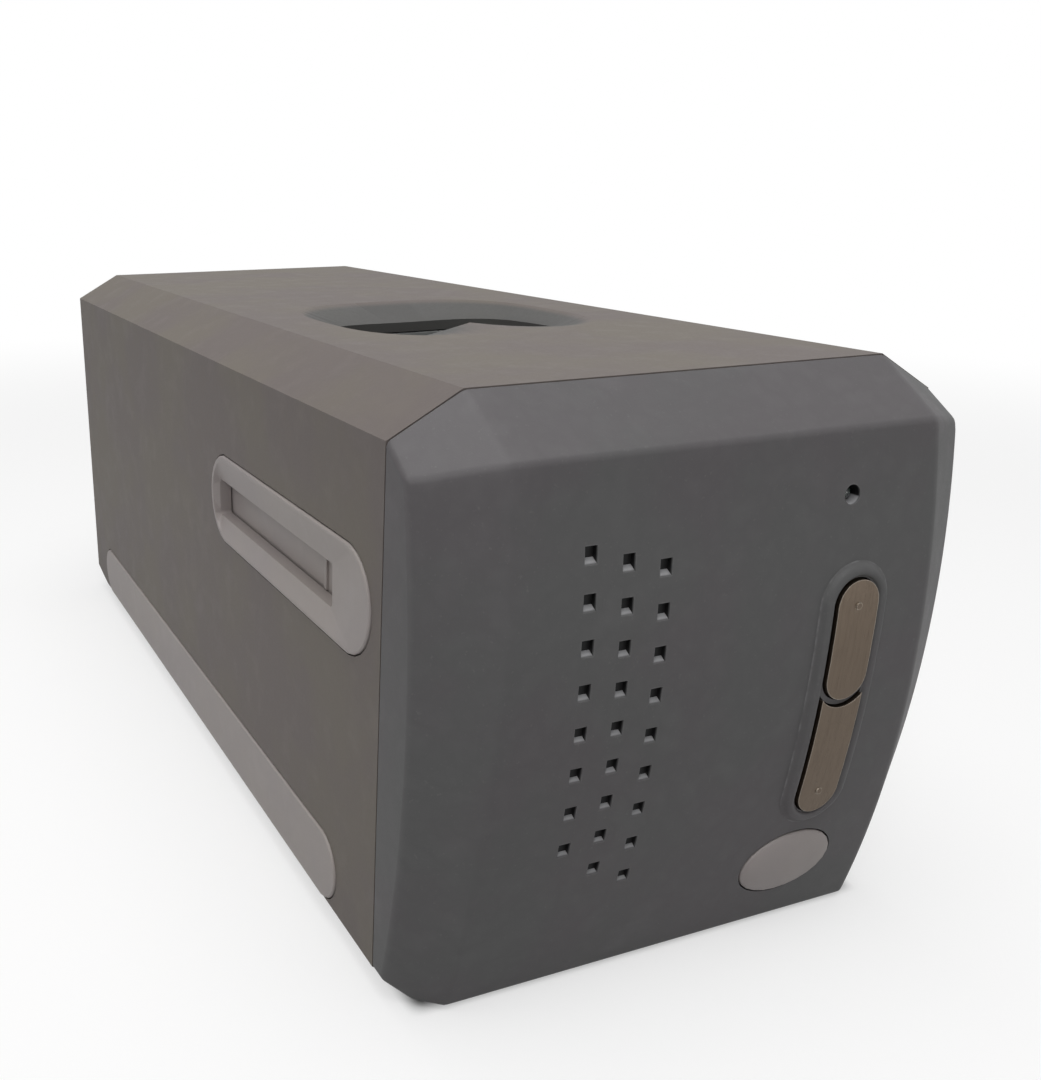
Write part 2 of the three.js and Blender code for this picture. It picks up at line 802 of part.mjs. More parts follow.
const surroundBackY = frontY + surroundDepth;
const stemEndY = buttonBoardY - gap - switchBody - switchPlunger - gap - buttonTravel;
const upperButtonZ = (scanButtonTopZ + scanButtonSplitZ) / 2;
const lowerButtonZ = (scanButtonLowZ + scanButtonSplitZ) / 2;

// Raised surround of the scan buttons, held by a flange behind the bezel
function makeSurround() {
  const stations = roundedEdge(surroundRound).map(({ back, grow }) => (
    { grow, proud: surroundProud - back }));
  const half = scanButtonWidth / 2 + surroundRing;
  const rings = Math.ceil((half - surroundRound) / surroundRound);
  for (let ring = 1; ring < rings; ring += 1) {
    stations.push({ grow: -surroundRound - ring * surroundRound, proud: surroundProud });
  }
  const body = loftFace(surroundOutline, surroundBackY, stations);
  const flange = toSolid(prismY(
    new THREE.Shape(surroundOutline(surroundFlange)), frontY, surroundBackY,
  ));
  const { upper, lower } = scanButtonOutlines(gap);
  return cut(
    join(body, common(flange, casing(shellWall + gap))),
    toSolid(prismY(upper, frontY - buttonProud - overrun, seamY)),
    toSolid(prismY(lower, frontY - buttonProud - overrun, seamY)),
  );
}

// A scan button: cap that follows the bulge, side lugs behind the surround, stem and raised pip
function makeScanButton(outline, middleZ, pipZ) {
  const capBack = surroundBackY + gap;
  const cap = common(
    toSolid(prismY(outline, frontY - buttonProud - overrun, capBack + overrun)),
    casing(-buttonProud), slab(-depth, capBack),
  );
  const reach = scanButtonWidth / 2 + lugReach;
  const lugs = block(
    scanButtonX - reach, scanButtonX + reach, capBack, capBack + lugThickness,
    middleZ - lugHeight / 2, middleZ + lugHeight / 2,
  );
  const stem = rod(stemRadius, capBack - stemRadius, stemEndY, scanButtonX, middleZ);
  const face = frontArcY(pipZ, -buttonProud);
  const pip = rod(pipRadius, face - pipProud, face + pipRadius, scanButtonX, pipZ, roundSteps / 2);
  return join(cap, lugs, stem, pip);
}

// Power button: an oval dome that follows the bulge of the front
function makePowerButton() {
  const stations = Array.from({ length: powerDomeSteps + 1 }, (_, i) => {
    const angle = (i / (powerDomeSteps + 1)) * Math.PI / 2;
    return {
      grow: -(powerHeight / 2) * (1 - Math.cos(angle)), proud: powerDome * Math.sin(angle),
    };
  });
  const back = frontY + powerDepth;
  const cap = loftFace(powerOutline, back, stations);
  const reach = powerWidth / 2 + lugReach;
  const lugs = block(
    powerX - reach, powerX + reach, back, back + lugThickness,
    powerZ - lugHeight / 2, powerZ + lugHeight / 2,
  );
  return join(cap, lugs, rod(stemRadius, back - stemRadius, stemEndY, powerX, powerZ));
}

function makeButtonBoard() {
  return block(
    buttonBoardX0, buttonBoardX1, buttonBoardY, buttonBoardY + boardThickness,
    buttonBoardLow, buttonBoardTop,
  );
}

function makeSwitch(x, z) {
  const half = switchSize / 2;
  const back = buttonBoardY - gap;
  const body = block(x - half, x + half, back - switchBody, back, z - half, z + half);
  return join(body, rod(
    switchPlungerRadius, back - switchBody - switchPlunger, back - switchBody / 2, x, z,
  ));
}

function makeStatusLight() {
  const tip = frontArcY(lightZ) + lightRecess;
  const dome = new THREE.SphereGeometry(lightRadius, roundSteps, roundSteps / 2);
  dome.translate(lightX, tip + lightRadius, lightZ);
  return join(toSolid(dome), rod(lightRadius, tip + lightRadius, buttonBoardY - gap, lightX, lightZ));
}

// Side strips, set into the shell
function makeSkid() {
  const stations = roundedEdge(skidRound).map(({ back, grow }) => ({ at: trimX - back, grow }));
  return loftX(skidOutline, [{ at: halfWidth - skidSink + gap, grow: 0 }, ...stations]);
}

// Slot bezel: a ring whose face is dished down to the slot, with a flange behind the
// shell's wall and two ears for the hinge pin of the dust flap
const bezelBackX = halfWidth - shellWall - gap - slotBezelFlange;
const flapX = bezelBackX - gap;
const hingeX = flapX - flapBarrelRadius;
const hingeZ = slotZ1 + flapHinge;
const springLength = flapSpringTurns * flapSpringPitch + flapSpringWire;

function makeSlotBezel() {
  const edge = roundedEdge(slotBezelRound).map(({ back, grow }) => ({ at: trimX - back, grow }));
  const ring = loftX(slotBezelOutline, [{ at: bezelBackX, grow: 0 }, ...edge]);
  const flange = loftX(slotBezelOutline, [
    { at: bezelBackX, grow: slotBezelFlangeReach },
    { at: halfWidth - shellWall - gap, grow: slotBezelFlangeReach },
  ]);
  const toPoints = (loop, x) => loop.map((point) => new THREE.Vector3(x, point.x, point.y));
  const dish = loft([
    toPoints(slotOutline(0), trimX - slotBezelDish - overrun),
    toPoints(slotOutline(0), trimX - slotBezelDish),
    toPoints(slotBezelOutline(-slotBezelRim), trimX),
    toPoints(slotBezelOutline(-slotBezelRim), trimX + overrun),
  ]);
  const slot = toSolid(prismX(new THREE.Shape(slotOutline(0)), bezelBackX - overrun, trimX));
  let bezel = cut(join(ring, flange), dish, slot);
  const earLow = hingeZ - hingeEarRadius;
  [slotY0, slotY1 - hingeEarWidth].forEach((y) => {
    const web = block(
      hingeX, bezelBackX + slotBezelFlange / 2, y, y + hingeEarWidth,
      earLow, hingeZ + hingeEarRadius,
    );
    bezel = join(bezel, web, rod(hingeEarRadius, y, y + hingeEarWidth, hingeX, hingeZ));
  });
  return cut(bezel, rod(
    hingePinRadius + runningFit, slotY0 - overrun, slotY1 + overrun, hingeX, hingeZ,
  ));
}

// Dust flap: hangs from its barrel and swings inwards as film goes in
function makeFlap() {
  const barrelFront = slotY0 + hingeEarWidth + gap;
  const barrelRear = slotY1 - hingeEarWidth - gap - springLength - gap;
  const neckZ = hingeZ - hingeEarRadius - gap;
  const ribY = slotY0 + flapRibFromEnd;
  const flap = join(
    rod(flapBarrelRadius, barrelFront, barrelRear, hingeX, hingeZ),
    block(flapX - flapThickness, flapX, barrelFront, barrelRear, neckZ - overrun, hingeZ),
    block(
      flapX - flapThickness, flapX, slotY0 - flapLap, slotY1 + flapLap, slotZ0 - flapLap, neckZ,
    ),
    block(
      flapX - flapThickness / 2, flapX + flapRibProud, ribY, ribY + flapRibWidth,
      slotZ0 + gap, slotZ1 - gap,
    ),
  );
  return cut(flap, rod(
    hingePinRadius + runningFit, barrelFront - overrun, barrelRear + overrun, hingeX, hingeZ,
  ));
}

// Torsion spring: a coil round the hinge pin, beside the barrel
class CoilCurve extends THREE.Curve {
  getPoint(share) {
    const angle = share * flapSpringTurns * Math.PI * 2;
    const along = share * flapSpringTurns * flapSpringPitch;
    const start = slotY1 - hingeEarWidth - gap - springLength + flapSpringWire / 2;
    return new THREE.Vector3(
      hingeX + flapSpringRadius * Math.cos(angle), start + along,
      hingeZ + flapSpringRadius * Math.sin(angle),
    );
  }
}

function makeFlapSpring() {
  const section = new THREE.Shape();
  section.absarc(0, 0, flapSpringWire / 2, 0, Math.PI * 2, false);
  return toSolid(new THREE.ExtrudeGeometry(section, {
    extrudePath: new CoilCurve(), steps: flapSpringTurns * springSteps, curveSegments: springSides,
    bevelEnabled: false,
  }));
}

// Base plate: follows the casing's underside and its swept-up rear edge
function makeBasePlate() {
  const half = halfWidth - baseChamferAcross - gap;
  const high = baseZ + sweepRise + shellWall;
  const zone = join(
    common(
      toSolid(prismY(insetOutline(casingOutline(), shellWall + gap), seamY, rearY)),
      block(-width, width, seamY, rearY, innerFloorZ, high),
    ),
    block(-half, half, seamY, rearY, 0, high),
  );
  let plate = common(cut(outerForm, innerForm), zone, slab(seamY + gap / 2, rearY));
  footPlaces.forEach(({ x, y }) => {
    plate = cut(plate, post(footRadius + gap, -overrun, baseZ + footSink + gap, x, y));
  });
  const middleY = footPlaces.reduce((sum, { y }) => sum + y, 0) / footPlaces.length;
  for (let row = 0; row < baseVentCount; row += 1) {
    const y = middleY + (row - (baseVentCount - 1) / 2) * baseVentPitch;
    const vent = new THREE.Shape(stadiumLoop(0, y, baseVentLength, baseVentWidth));
    plate = cut(plate, toSolid(prismZ(vent, 0, innerFloorZ + overrun)));
  }
  return plate;
}

const footX = halfWidth - baseChamferAcross - footInset;
const footPlaces = [frontY + footFromFront, rearY - footFromRear]
  .flatMap((y) => [-footX, footX].map((x) => ({ x, y })));

// Rear panel, set inside the shell's rim, with its two socket openings and cooling slots
const rearFaceY = rearY - shellWall - gap;
const mainBoardZ = topZ - mainBoardFromTop;
const socketZ = mainBoardZ + boardThickness + gap;

function makeRearPanel() {
  let panel = common(
    toSolid(prismY(
      insetOutline(casingOutline(), shellWall + gap), rearFaceY - rearWall, rearFaceY,
    )),
    toSolid(prismX(casingProfile(shellWall + gap), -width, width)),
  );
  socketPlaces.forEach(({ x, w, h }) => {
    panel = cut(panel, block(
      x - w / 2 - gap, x + w / 2 + gap, rearFaceY - rearWall - overrun, rearFaceY + overrun,
      socketZ - gap, socketZ + h + gap,
    ));
  });
  for (let row = 0; row < rearVentCount; row += 1) {
    const z = rearVentLowZ + row * rearVentPitch;
    const vent = new THREE.Shape(stadiumLoop(0, z, rearVentLength, rearVentWidth));
    panel = cut(panel, toSolid(prismY(vent, rearFaceY - rearWall - overrun, rearFaceY + overrun)));
  }
  return panel;
}

const socketPlaces = [
  { x: dataSocketX, w: dataSocketWidth, h: dataSocketHeight },
  { x: powerSocketX, w: powerSocketWidth, h: powerSocketHeight },
];

function makeDataSocket() {
  const half = dataSocketWidth / 2;
  const middleZ = socketZ + dataSocketHeight / 2;
  const mouth = rearFaceY - dataSocketMouthDepth;
  const body = block(
    dataSocketX - half, dataSocketX + half, rearFaceY - dataSocketLength, rearFaceY,
    socketZ, socketZ + dataSocketHeight,
  );
  const cavity = block(
    dataSocketX - dataSocketMouthWidth / 2, dataSocketX + dataSocketMouthWidth / 2,
    mouth, rearFaceY + overrun,
    middleZ - dataSocketMouthHeight / 2, middleZ + dataSocketMouthHeight / 2,
  );
  const tongue = block(
    dataSocketX - dataSocketMouthWidth / 4, dataSocketX + dataSocketMouthWidth / 4,
    mouth - overrun, rearFaceY - dataSocketTongue / 2,
    middleZ - dataSocketTongue / 2, middleZ + dataSocketTongue / 2,
  );
  return join(cut(body, cavity), tongue);
}

function makePowerSocket() {
  const half = powerSocketWidth / 2;
  const middleZ = socketZ + powerSocketHeight / 2;
  const mouth = rearFaceY - powerSocketMouthDepth;
  const body = block(
    powerSocketX - half, powerSocketX + half, rearFaceY - powerSocketLength, rearFaceY,
    socketZ, socketZ + powerSocketHeight,
  );
  const bore = rod(powerSocketBore, mouth, rearFaceY + overrun, powerSocketX, middleZ);
  const pin = rod(
    powerSocketPin, mouth - overrun, rearFaceY - powerSocketPin, powerSocketX, middleZ,
    roundSteps / 2,
  );
  return join(cut(body, bore), pin);
}

// Chassis: floor on four bosses, two end walls for the rods, posts for the main board
const wallTopZ = driveZ + rodWallAboveDrive;

function makeChassis() {
  const half = chassisHalfWidth;
  const rimTop = floorTop + chassisRim;
  let frame = join(
    block(-half, half, chassisY0, chassisY1, chassisFloorZ, floorTop),
    block(-half, -half + chassisFloor, chassisY0, chassisY1, chassisFloorZ, rimTop),
    block(half - chassisFloor, half, chassisY0, chassisY1, chassisFloorZ, rimTop),
  );
  const wallHalf = rodHalfSpacing + rodWallPastRod;
  [rodWallFrontY, rodWallRearY].forEach((y) => {
    frame = join(frame, block(
      -wallHalf, wallHalf, y, y + rodWallThickness, chassisFloorZ, wallTopZ,
    ));
  });
  const bossX = half - chassisBossInset;
  [chassisY0 + chassisBossInset, sweepStartY - chassisBossInset].forEach((y) => {
    [-bossX, bossX].forEach((x) => {
      frame = join(frame, post(
        chassisBossRadius, innerFloorZ + gap, chassisFloorZ + chassisFloor / 2, x, y,
      ));
    });
  });
  boardPostPlaces.forEach(({ x, y }) => {
    frame = join(frame, post(boardPostRadius, chassisFloorZ, mainBoardZ - gap, x, y));
  });
  const through = [rodWallFrontY - overrun, rodWallRearY + rodWallThickness + overrun];
  return cut(
    frame,
    rod(rodRadius + runningFit, ...through, -rodHalfSpacing, driveZ),
    rod(rodRadius + runningFit, ...through, rodHalfSpacing, driveZ),
    rod(screwRadius + runningFit, ...through, 0, driveZ),
  );
}

const tunnelY0 = slotY0 - tunnelPlay - tunnelWall;
const tunnelY1 = slotY1 + tunnelPlay + tunnelWall;
const mastFrontY = tunnelY1 + mastClear;
const mainBoardFrontY = mastFrontY + mastThickness + carriageTravel + mainBoardFrontClear;
const mainBoardRearY = rearFaceY - rearWall - mainBoardRearClear;
const boardPostPlaces = [mainBoardFrontY + mainBoardPostInset, chassisY1 - mainBoardPostInset]
  .flatMap((y) => [-1, 1].map((side) => (
    { x: side * (chassisHalfWidth - mainBoardPostInset), y })));

const makeGuideRod = () => rod(
  rodRadius, rodWallFrontY, rodWallRearY + rodWallThickness, rodHalfSpacing, driveZ,
);

const motorY = rodWallRearY + rodWallThickness + gap;
const makeLeadScrew = () => rod(
  screwRadius, rodWallFrontY, motorY + motorSocket - gap, 0, driveZ,
);

function makeMotor() {
  return cut(
    rod(motorRadius, motorY, motorY + motorLength, 0, driveZ),
    rod(screwRadius + runningFit, motorY - overrun, motorY + motorSocket, 0, driveZ),
  );
}

// Film tunnel: a flat channel between the slots on two arched side plates, with a
// window above and below for the light
const tunnelZ0 = slotZ0 - tunnelPlay - tunnelWall;
const tunnelZ1 = slotZ1 + tunnelPlay + tunnelWall;
const flapReach = hingeZ - slotZ0 + flapLap;

function makeTunnel() {
  const half = hingeX - flapReach - flapSwingClear;
  const legZ = floorTop + gap;
  const legArch = new THREE.Shape();
  const archRadius = (tunnelY1 - tunnelY0) / 2 - legArchInset;
  const archY = (tunnelY0 + tunnelY1) / 2;
  const archTop = tunnelZ0 - legArchInset;
  legArch.moveTo(archY - archRadius, 0);
  legArch.lineTo(archY + archRadius, 0);
  legArch.absellipse(
    archY, archTop - archRadius / 2, archRadius, archRadius / 2, 0, Math.PI, false,
  );
  const tunnel = join(
    block(-half, half, tunnelY0, tunnelY1, tunnelZ0, tunnelZ1),
    block(-half, -half + tunnelLegWidth, tunnelY0, tunnelY1, legZ, tunnelZ1),
    block(half - tunnelLegWidth, half, tunnelY0, tunnelY1, legZ, tunnelZ1),
  );
  const windowHalf = (carriageTravel + windowPastTravel) / 2;
  return cut(
    tunnel,
    toSolid(prismX(legArch, -width, width)),
    block(
      -half - overrun, half + overrun, slotY0 - tunnelPlay, slotY1 + tunnelPlay,
      slotZ0 - tunnelPlay, slotZ1 + tunnelPlay,
    ),
    block(
      -windowLength / 2, windowLength / 2,
      slotCentreY - windowHalf, slotCentreY + windowHalf,
      tunnelZ0 - overrun, tunnelZ1 + overrun,
    ),
  );
}

// Scan carriage: one casting that carries the lamp above the film and the optics below
const deckZ0 = driveZ + rodRadius + deckClear;
const deckZ1 = deckZ0 + deckThickness;
const armZ0 = tunnelZ1 + armClear;
const armZ1 = armZ0 + armThickness;
const deckHalfWidth = rodHalfSpacing + rodRadius + sleeveWall;
const deckFrontY = rodWallFrontY + rodWallThickness + deckFrontClear;
const deckRearY = rodWallRearY - carriageTravel - deckRearClear;
const scanLineY = slotCentreY - carriageTravel / 2;
const opticZ = THREE.MathUtils.lerp(deckZ1, tunnelZ0, opticHeightShare);
const opticRoom = opticZ - deckZ1;
const mirrorWidth = windowLength + 2 * mirrorPastWindow;
const mirrorLength = 2 * Math.SQRT2 * mirrorReachShare * opticRoom;
const mastHalfWidth = mirrorWidth / 2;
const sensorY = deckRearY - sensorSetback;
const lensRoom = sensorY - mastFrontY - mastThickness;
const lensFrontY = mastFrontY + mastThickness + lensFrontShare * lensRoom;
const lensLength = lensLengthShare * lensRoom;
const lensRadius = lensRadiusShare * opticRoom;
const lensGlassRadius = lensRadius - lensWall;
const lensBulgeRadius = lensBulgeShare * lensGlassRadius;
const lensGlassThickness = lensGlassThicknessShare * lensGlassRadius;
const lampHalfLength = windowLength / 2 + lampPastWindow;
const sensorBoardHalfWidth = sensorHalfWidth + sensorBoardRim;

function makeCarriage() {
  const sleeve = rodRadius + sleeveWall;
  const seat = deckZ1 - deckThickness / 2;
  let body = block(-deckHalfWidth, deckHalfWidth, deckFrontY, deckRearY, deckZ0, deckZ1);
  [deckFrontY, deckRearY - sleeveLength].forEach((y) => {
    [-rodHalfSpacing, rodHalfSpacing].forEach((x) => {
      body = join(body, block(x - sleeve, x + sleeve, y, y + sleeveLength, driveZ - sleeve, seat));
    });
  });
  const nut = screwRadius + sleeveWall;
  const nutY = (deckFrontY + deckRearY - nutLength) / 2;
  const view = lensRadius + mastWindowClear;
  const mast = cut(
    block(-mastHalfWidth, mastHalfWidth, mastFrontY, mastFrontY + mastThickness, seat, armZ1),
    block(
      -view, view, mastFrontY - overrun, mastFrontY + mastThickness + overrun,
      opticZ - view, opticZ + view,
    ),
  );
  const headFront = scanLineY - armHeadLength / 2;
  const headHalf = lampHalfLength + armHeadRim;
  const cradle = lensRadius + cradleWall;
  const cradleInset = cradleInsetShare * lensLength;
  body = join(
    body,
    block(-nut, nut, nutY, nutY + nutLength, driveZ - nut, seat),
    mast,
    block(-mastHalfWidth, mastHalfWidth, headFront, mastFrontY + overrun, armZ0, armZ1),
    block(
      -headHalf, headHalf, headFront, headFront + armHeadLength, armZ0, armZ1,
    ),
    makeMirrorBlock(seat),
    block(
      -cradle, cradle, lensFrontY + cradleInset,
      lensFrontY + lensLength - cradleInset, seat, opticZ,
    ),
    block(
      -sensorBoardHalfWidth, sensorBoardHalfWidth, sensorBracketY,
      sensorBracketY + sensorBracketThickness, seat, opticZ + sensorHeight / 2,
    ),
  );
  const rodSpan = [deckFrontY - overrun, deckRearY + overrun];
  return cut(
    body,
    rod(rodRadius + runningFit, ...rodSpan, -rodHalfSpacing, driveZ),
    rod(rodRadius + runningFit, ...rodSpan, rodHalfSpacing, driveZ),
    rod(screwRadius + runningFit, ...rodSpan, 0, driveZ),
    rod(lensRadius + gap, lensFrontY, lensFrontY + lensLength, 0, opticZ),
    block(
      -lampHalfLength - gap, lampHalfLength + gap,
      scanLineY - lampPocketHalfWidth, scanLineY + lampPocketHalfWidth,
      armZ0 - overrun, armZ0 + lampPocketDepth,
    ),
  );
}

// The wedge behind the mirror: its slope lies a gap away from the tilted glass
function makeMirrorBlock(seat) {
  const slope = scanLineY + opticZ - Math.SQRT2 * (mirrorThickness / 2 + gap);
  const blockFrontY = scanLineY - mirrorBlockShare * opticRoom;
  const wedge = new THREE.Shape();
  wedge.moveTo(blockFrontY, seat);
  wedge.lineTo(slope - seat, seat);
  wedge.lineTo(blockFrontY, slope - blockFrontY);
  return toSolid(prismX(wedge, -mirrorWidth / 2, mirrorWidth / 2));
}

const sensorBoardY = sensorY + sensorThickness + gap;
const sensorBracketY = sensorBoardY + boardThickness + gap;

function makeMirror() {
  const geometry = new THREE.BoxGeometry(mirrorWidth, mirrorLength, mirrorThickness);
  geometry.rotateX(-Math.PI / 4);
  geometry.translate(0, scanLineY, opticZ);
  return toSolid(geometry);
}

function makeLensBarrel() {
  const rear = lensFrontY + lensLength;
  const step = rod(lensGlassRadius, lensFrontY - overrun, rear + overrun, 0, opticZ);
  return cut(rod(lensRadius, lensFrontY, rear, 0, opticZ), step);
}

function makeLens() {
  const dome = new THREE.SphereGeometry(lensBulgeRadius, roundSteps, roundSteps / 2);
  const front = lensFrontY + lensGlassSetback;
  dome.translate(0, front + lensBulgeRadius, opticZ);
  return common(
    toSolid(dome),
    rod(lensGlassRadius - gap, front, front + lensGlassThickness, 0, opticZ),
  );
}

const makeSensor = () => block(
  -sensorHalfWidth, sensorHalfWidth, sensorY, sensorY + sensorThickness,
  opticZ - sensorHeight / 2, opticZ + sensorHeight / 2,
);

const makeSensorBoard = () => block(
  -sensorBoardHalfWidth, sensorBoardHalfWidth, sensorBoardY, sensorBoardY + boardThickness,
  deckZ1 + gap, opticZ + opticRoom - gap,
);

function makeLamp() {
  const geometry = new THREE.CylinderGeometry(
    lampRadius, lampRadius, 2 * lampHalfLength, roundSteps / 2,
  );
  geometry.rotateZ(Math.PI / 2);
  geometry.translate(0, scanLineY, armZ0 + lampPocketDepth - gap - lampRadius);
  return toSolid(geometry);
}

const makeDiffuser = () => block(
  -lampHalfLength, lampHalfLength,
  scanLineY - lampPocketHalfWidth + gap, scanLineY + lampPocketHalfWidth - gap,
  armZ0, armZ0 + diffuserThickness,
);

const makeMainBoard = () => block(
  -chassisHalfWidth, chassisHalfWidth, mainBoardFrontY, mainBoardRearY,
  mainBoardZ, mainBoardZ + boardThickness,
);

// Casing
addPiece('main_shell', makeMainShell(), finishes.shell);
addPiece('front_bezel', makeFrontBezel(), finishes.front);
addPiece('base_plate', makeBasePlate(), finishes.base);
addPiece('rear_panel', makeRearPanel(), finishes.base);
addPiece('handle_cup', makeHandleCup(), finishes.well);
addBothSides('skid_strip', makeSkid(), finishes.trim);
footPlaces.forEach(({ x, y }, i) => {
  addPiece(`foot_${i + 1}`, post(footRadius, 0, baseZ + footSink, x, y), finishes.rubber);
});

// Film path
addBothSides('slot_bezel', makeSlotBezel(), finishes.trim);
addBothSides('dust_flap', makeFlap(), finishes.trim);
addBothSides('hinge_pin', rod(
  hingePinRadius, slotY0, slotY1, hingeX, hingeZ, roundSteps / 2,
), finishes.steel);
addBothSides('flap_spring', makeFlapSpring(), finishes.steel);
addPiece('film_tunnel', makeTunnel(), finishes.frame);

// Controls
const caps = scanButtonOutlines(0);
addPiece('button_surround', makeSurround(), finishes.front);
addPiece('upper_scan_button', makeScanButton(
  caps.upper, upperButtonZ, scanButtonTopZ - pipInset,
), finishes.metal);
addPiece('lower_scan_button', makeScanButton(
  caps.lower, lowerButtonZ, scanButtonLowZ + pipInset,
), finishes.metal);
addPiece('power_button', makePowerButton(), finishes.trim);
addPiece('status_light', makeStatusLight(), finishes.glass);
addPiece('button_board', makeButtonBoard(), finishes.board);
addPiece('upper_scan_switch', makeSwitch(scanButtonX, upperButtonZ), finishes.chip);
addPiece('lower_scan_switch', makeSwitch(scanButtonX, lowerButtonZ), finishes.chip);
addPiece('power_switch', makeSwitch(powerX, powerZ), finishes.chip);

// Drive
addPiece('chassis', makeChassis(), finishes.frame);
addBothSides('guide_rod', makeGuideRod(), finishes.steel);
addPiece('lead_screw', makeLeadScrew(), finishes.steel);
addPiece('stepper_motor', makeMotor(), finishes.alloy);

// Scan carriage and its optics
addPiece('scan_carriage', makeCarriage(), finishes.frame);
addPiece('lamp_tube', makeLamp(), finishes.lamp);
addPiece('lamp_diffuser', makeDiffuser(), finishes.lamp);
addPiece('fold_mirror', makeMirror(), finishes.mirror);
addPiece('lens_barrel', makeLensBarrel(), finishes.frame);
addPiece('front_lens', makeLens(), finishes.glass);
addPiece('image_sensor', makeSensor(), finishes.chip);
addPiece('sensor_board', makeSensorBoard(), finishes.board);

// Electronics at the rear
addPiece('main_board', makeMainBoard(), finishes.board);
addPiece('data_socket', makeDataSocket(), finishes.steel);
addPiece('power_socket', makePowerSocket(), finishes.chip);

export default scanner;
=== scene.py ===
"""Looks of a desktop scanner for film negatives, dressed over its solid frame.

Every piece is in metres in the frame's own axes: X across the machine, Y from the
front to the back, Z up from the surface that the machine stands on.
"""
import json
import logging
import math
from collections.abc import Callable, Iterator, Sequence
from contextlib import contextmanager
from dataclasses import dataclass, field
from enum import Enum
from typing import Any

import bmesh
import bpy
from mathutils import Matrix, Vector

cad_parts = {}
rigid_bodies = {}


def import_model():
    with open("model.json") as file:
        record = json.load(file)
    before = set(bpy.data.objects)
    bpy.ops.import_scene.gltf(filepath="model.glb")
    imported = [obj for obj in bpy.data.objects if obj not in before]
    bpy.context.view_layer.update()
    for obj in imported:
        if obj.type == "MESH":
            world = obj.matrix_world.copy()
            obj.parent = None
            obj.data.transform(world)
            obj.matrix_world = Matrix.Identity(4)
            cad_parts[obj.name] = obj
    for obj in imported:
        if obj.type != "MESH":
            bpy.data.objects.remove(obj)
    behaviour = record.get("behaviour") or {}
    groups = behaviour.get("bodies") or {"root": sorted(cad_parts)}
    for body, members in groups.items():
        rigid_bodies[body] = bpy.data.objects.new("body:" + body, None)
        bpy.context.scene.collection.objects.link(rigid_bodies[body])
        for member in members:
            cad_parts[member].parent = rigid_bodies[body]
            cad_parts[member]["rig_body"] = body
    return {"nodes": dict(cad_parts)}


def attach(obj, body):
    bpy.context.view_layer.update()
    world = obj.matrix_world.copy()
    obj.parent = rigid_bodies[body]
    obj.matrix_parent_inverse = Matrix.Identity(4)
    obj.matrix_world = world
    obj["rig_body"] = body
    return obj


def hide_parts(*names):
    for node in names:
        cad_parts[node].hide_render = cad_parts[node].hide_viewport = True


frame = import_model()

log = logging.getLogger("scanner")

MM = 0.001
Colour = tuple[float, float, float]
IMAGE_WIDTH = 1041
IMAGE_HEIGHT = 1080
SENSOR_HEIGHT = 36.0
NEAR_ZERO = 1e-7
JOIN_DISTANCE = 0.002
FLAT_ANGLE = math.radians(0.8)
SIDES = ("right", "left")

# Places on the machine that several classes share, in millimetres
CASING_HALF = 59.7
CASING_TOP = 118.0
SCREW_HEIGHT = 24.0
SHELL_TOP = 117.9
WELL_MIDDLE = -24.5
WELL_REACH = (34.0, 36.5)
DIMPLE_MIDDLE = -22.7
DIMPLE_REACH = 10.2
LIGHT_PLACE = (25.4, 96.5)
LIGHT_REACH = 2.6
PITS_TOP = 102.0
BUTTONS_PLACE = (28.2, 55.95)
BUTTONS_STRAIGHT = 20.05

# How the casing's long outer creases are told from its other edges
CREASE_ANGLES = (math.radians(8.0), math.radians(80.0))
CREASE_LENGTH = 4.0
CREASE_ZONE = (16.0, 11.0)


def srgb(red: int, green: int, blue: int) -> Colour:
    """Turns a colour of 0 to 255 steps, as seen on a screen, into linear light."""
    def linear(step: int) -> float:
        """Turns one channel into linear light."""
        share = step / 255
        return share / 12.92 if share <= 0.04045 else ((share + 0.055) / 1.055) ** 2.4
    return linear(red), linear(green), linear(blue)


class Axis(Enum):
    """The direction in which a grain or a lay runs."""

    ACROSS = 0
    ALONG = 1
    UP = 2


# Shader tools


def operation(name: str, turned: bool = False) -> Callable[..., "Signal"]:
    """Makes a method that adds one Math node.

    Args:
        name: the node's operation.
        turned: whether the signal is the second of the two values.

    Returns:
        The method, which takes the other value and gives the result.
    """
    def method(self: "Signal", other: Any = 0.0) -> "Signal":
        """Adds the node."""
        first, second = (other, self) if turned else (self, other)
        return self.nodes.make("ShaderNodeMath", {"operation": name}, {0: first, 1: second})
    return method


class Signal:
    """A value on its way through the nodes of one tree; arithmetic on it adds nodes."""

    __add__ = __radd__ = operation("ADD")
    __sub__ = operation("SUBTRACT")
    __rsub__ = operation("SUBTRACT", turned=True)
    __mul__ = __rmul__ = operation("MULTIPLY")
    __truediv__ = operation("DIVIDE")
    most = operation("MAXIMUM")
    least = operation("MINIMUM")
    size = operation("ABSOLUTE")
    wave = operation("SINE")

    def __init__(self, nodes: "Nodes", socket: bpy.types.NodeSocket) -> None:
        """Keeps the socket that the value comes out of."""
        self.nodes = nodes
        self.socket = socket

    def rise(self, low: float, high: float) -> "Signal":
        """Climbs smoothly from 0 at low to 1 at high."""
        return self.nodes.make(
            "ShaderNodeMapRange", {"interpolation_type": "SMOOTHSTEP"},
            {"Value": self, "From Min": low, "From Max": high},
        )


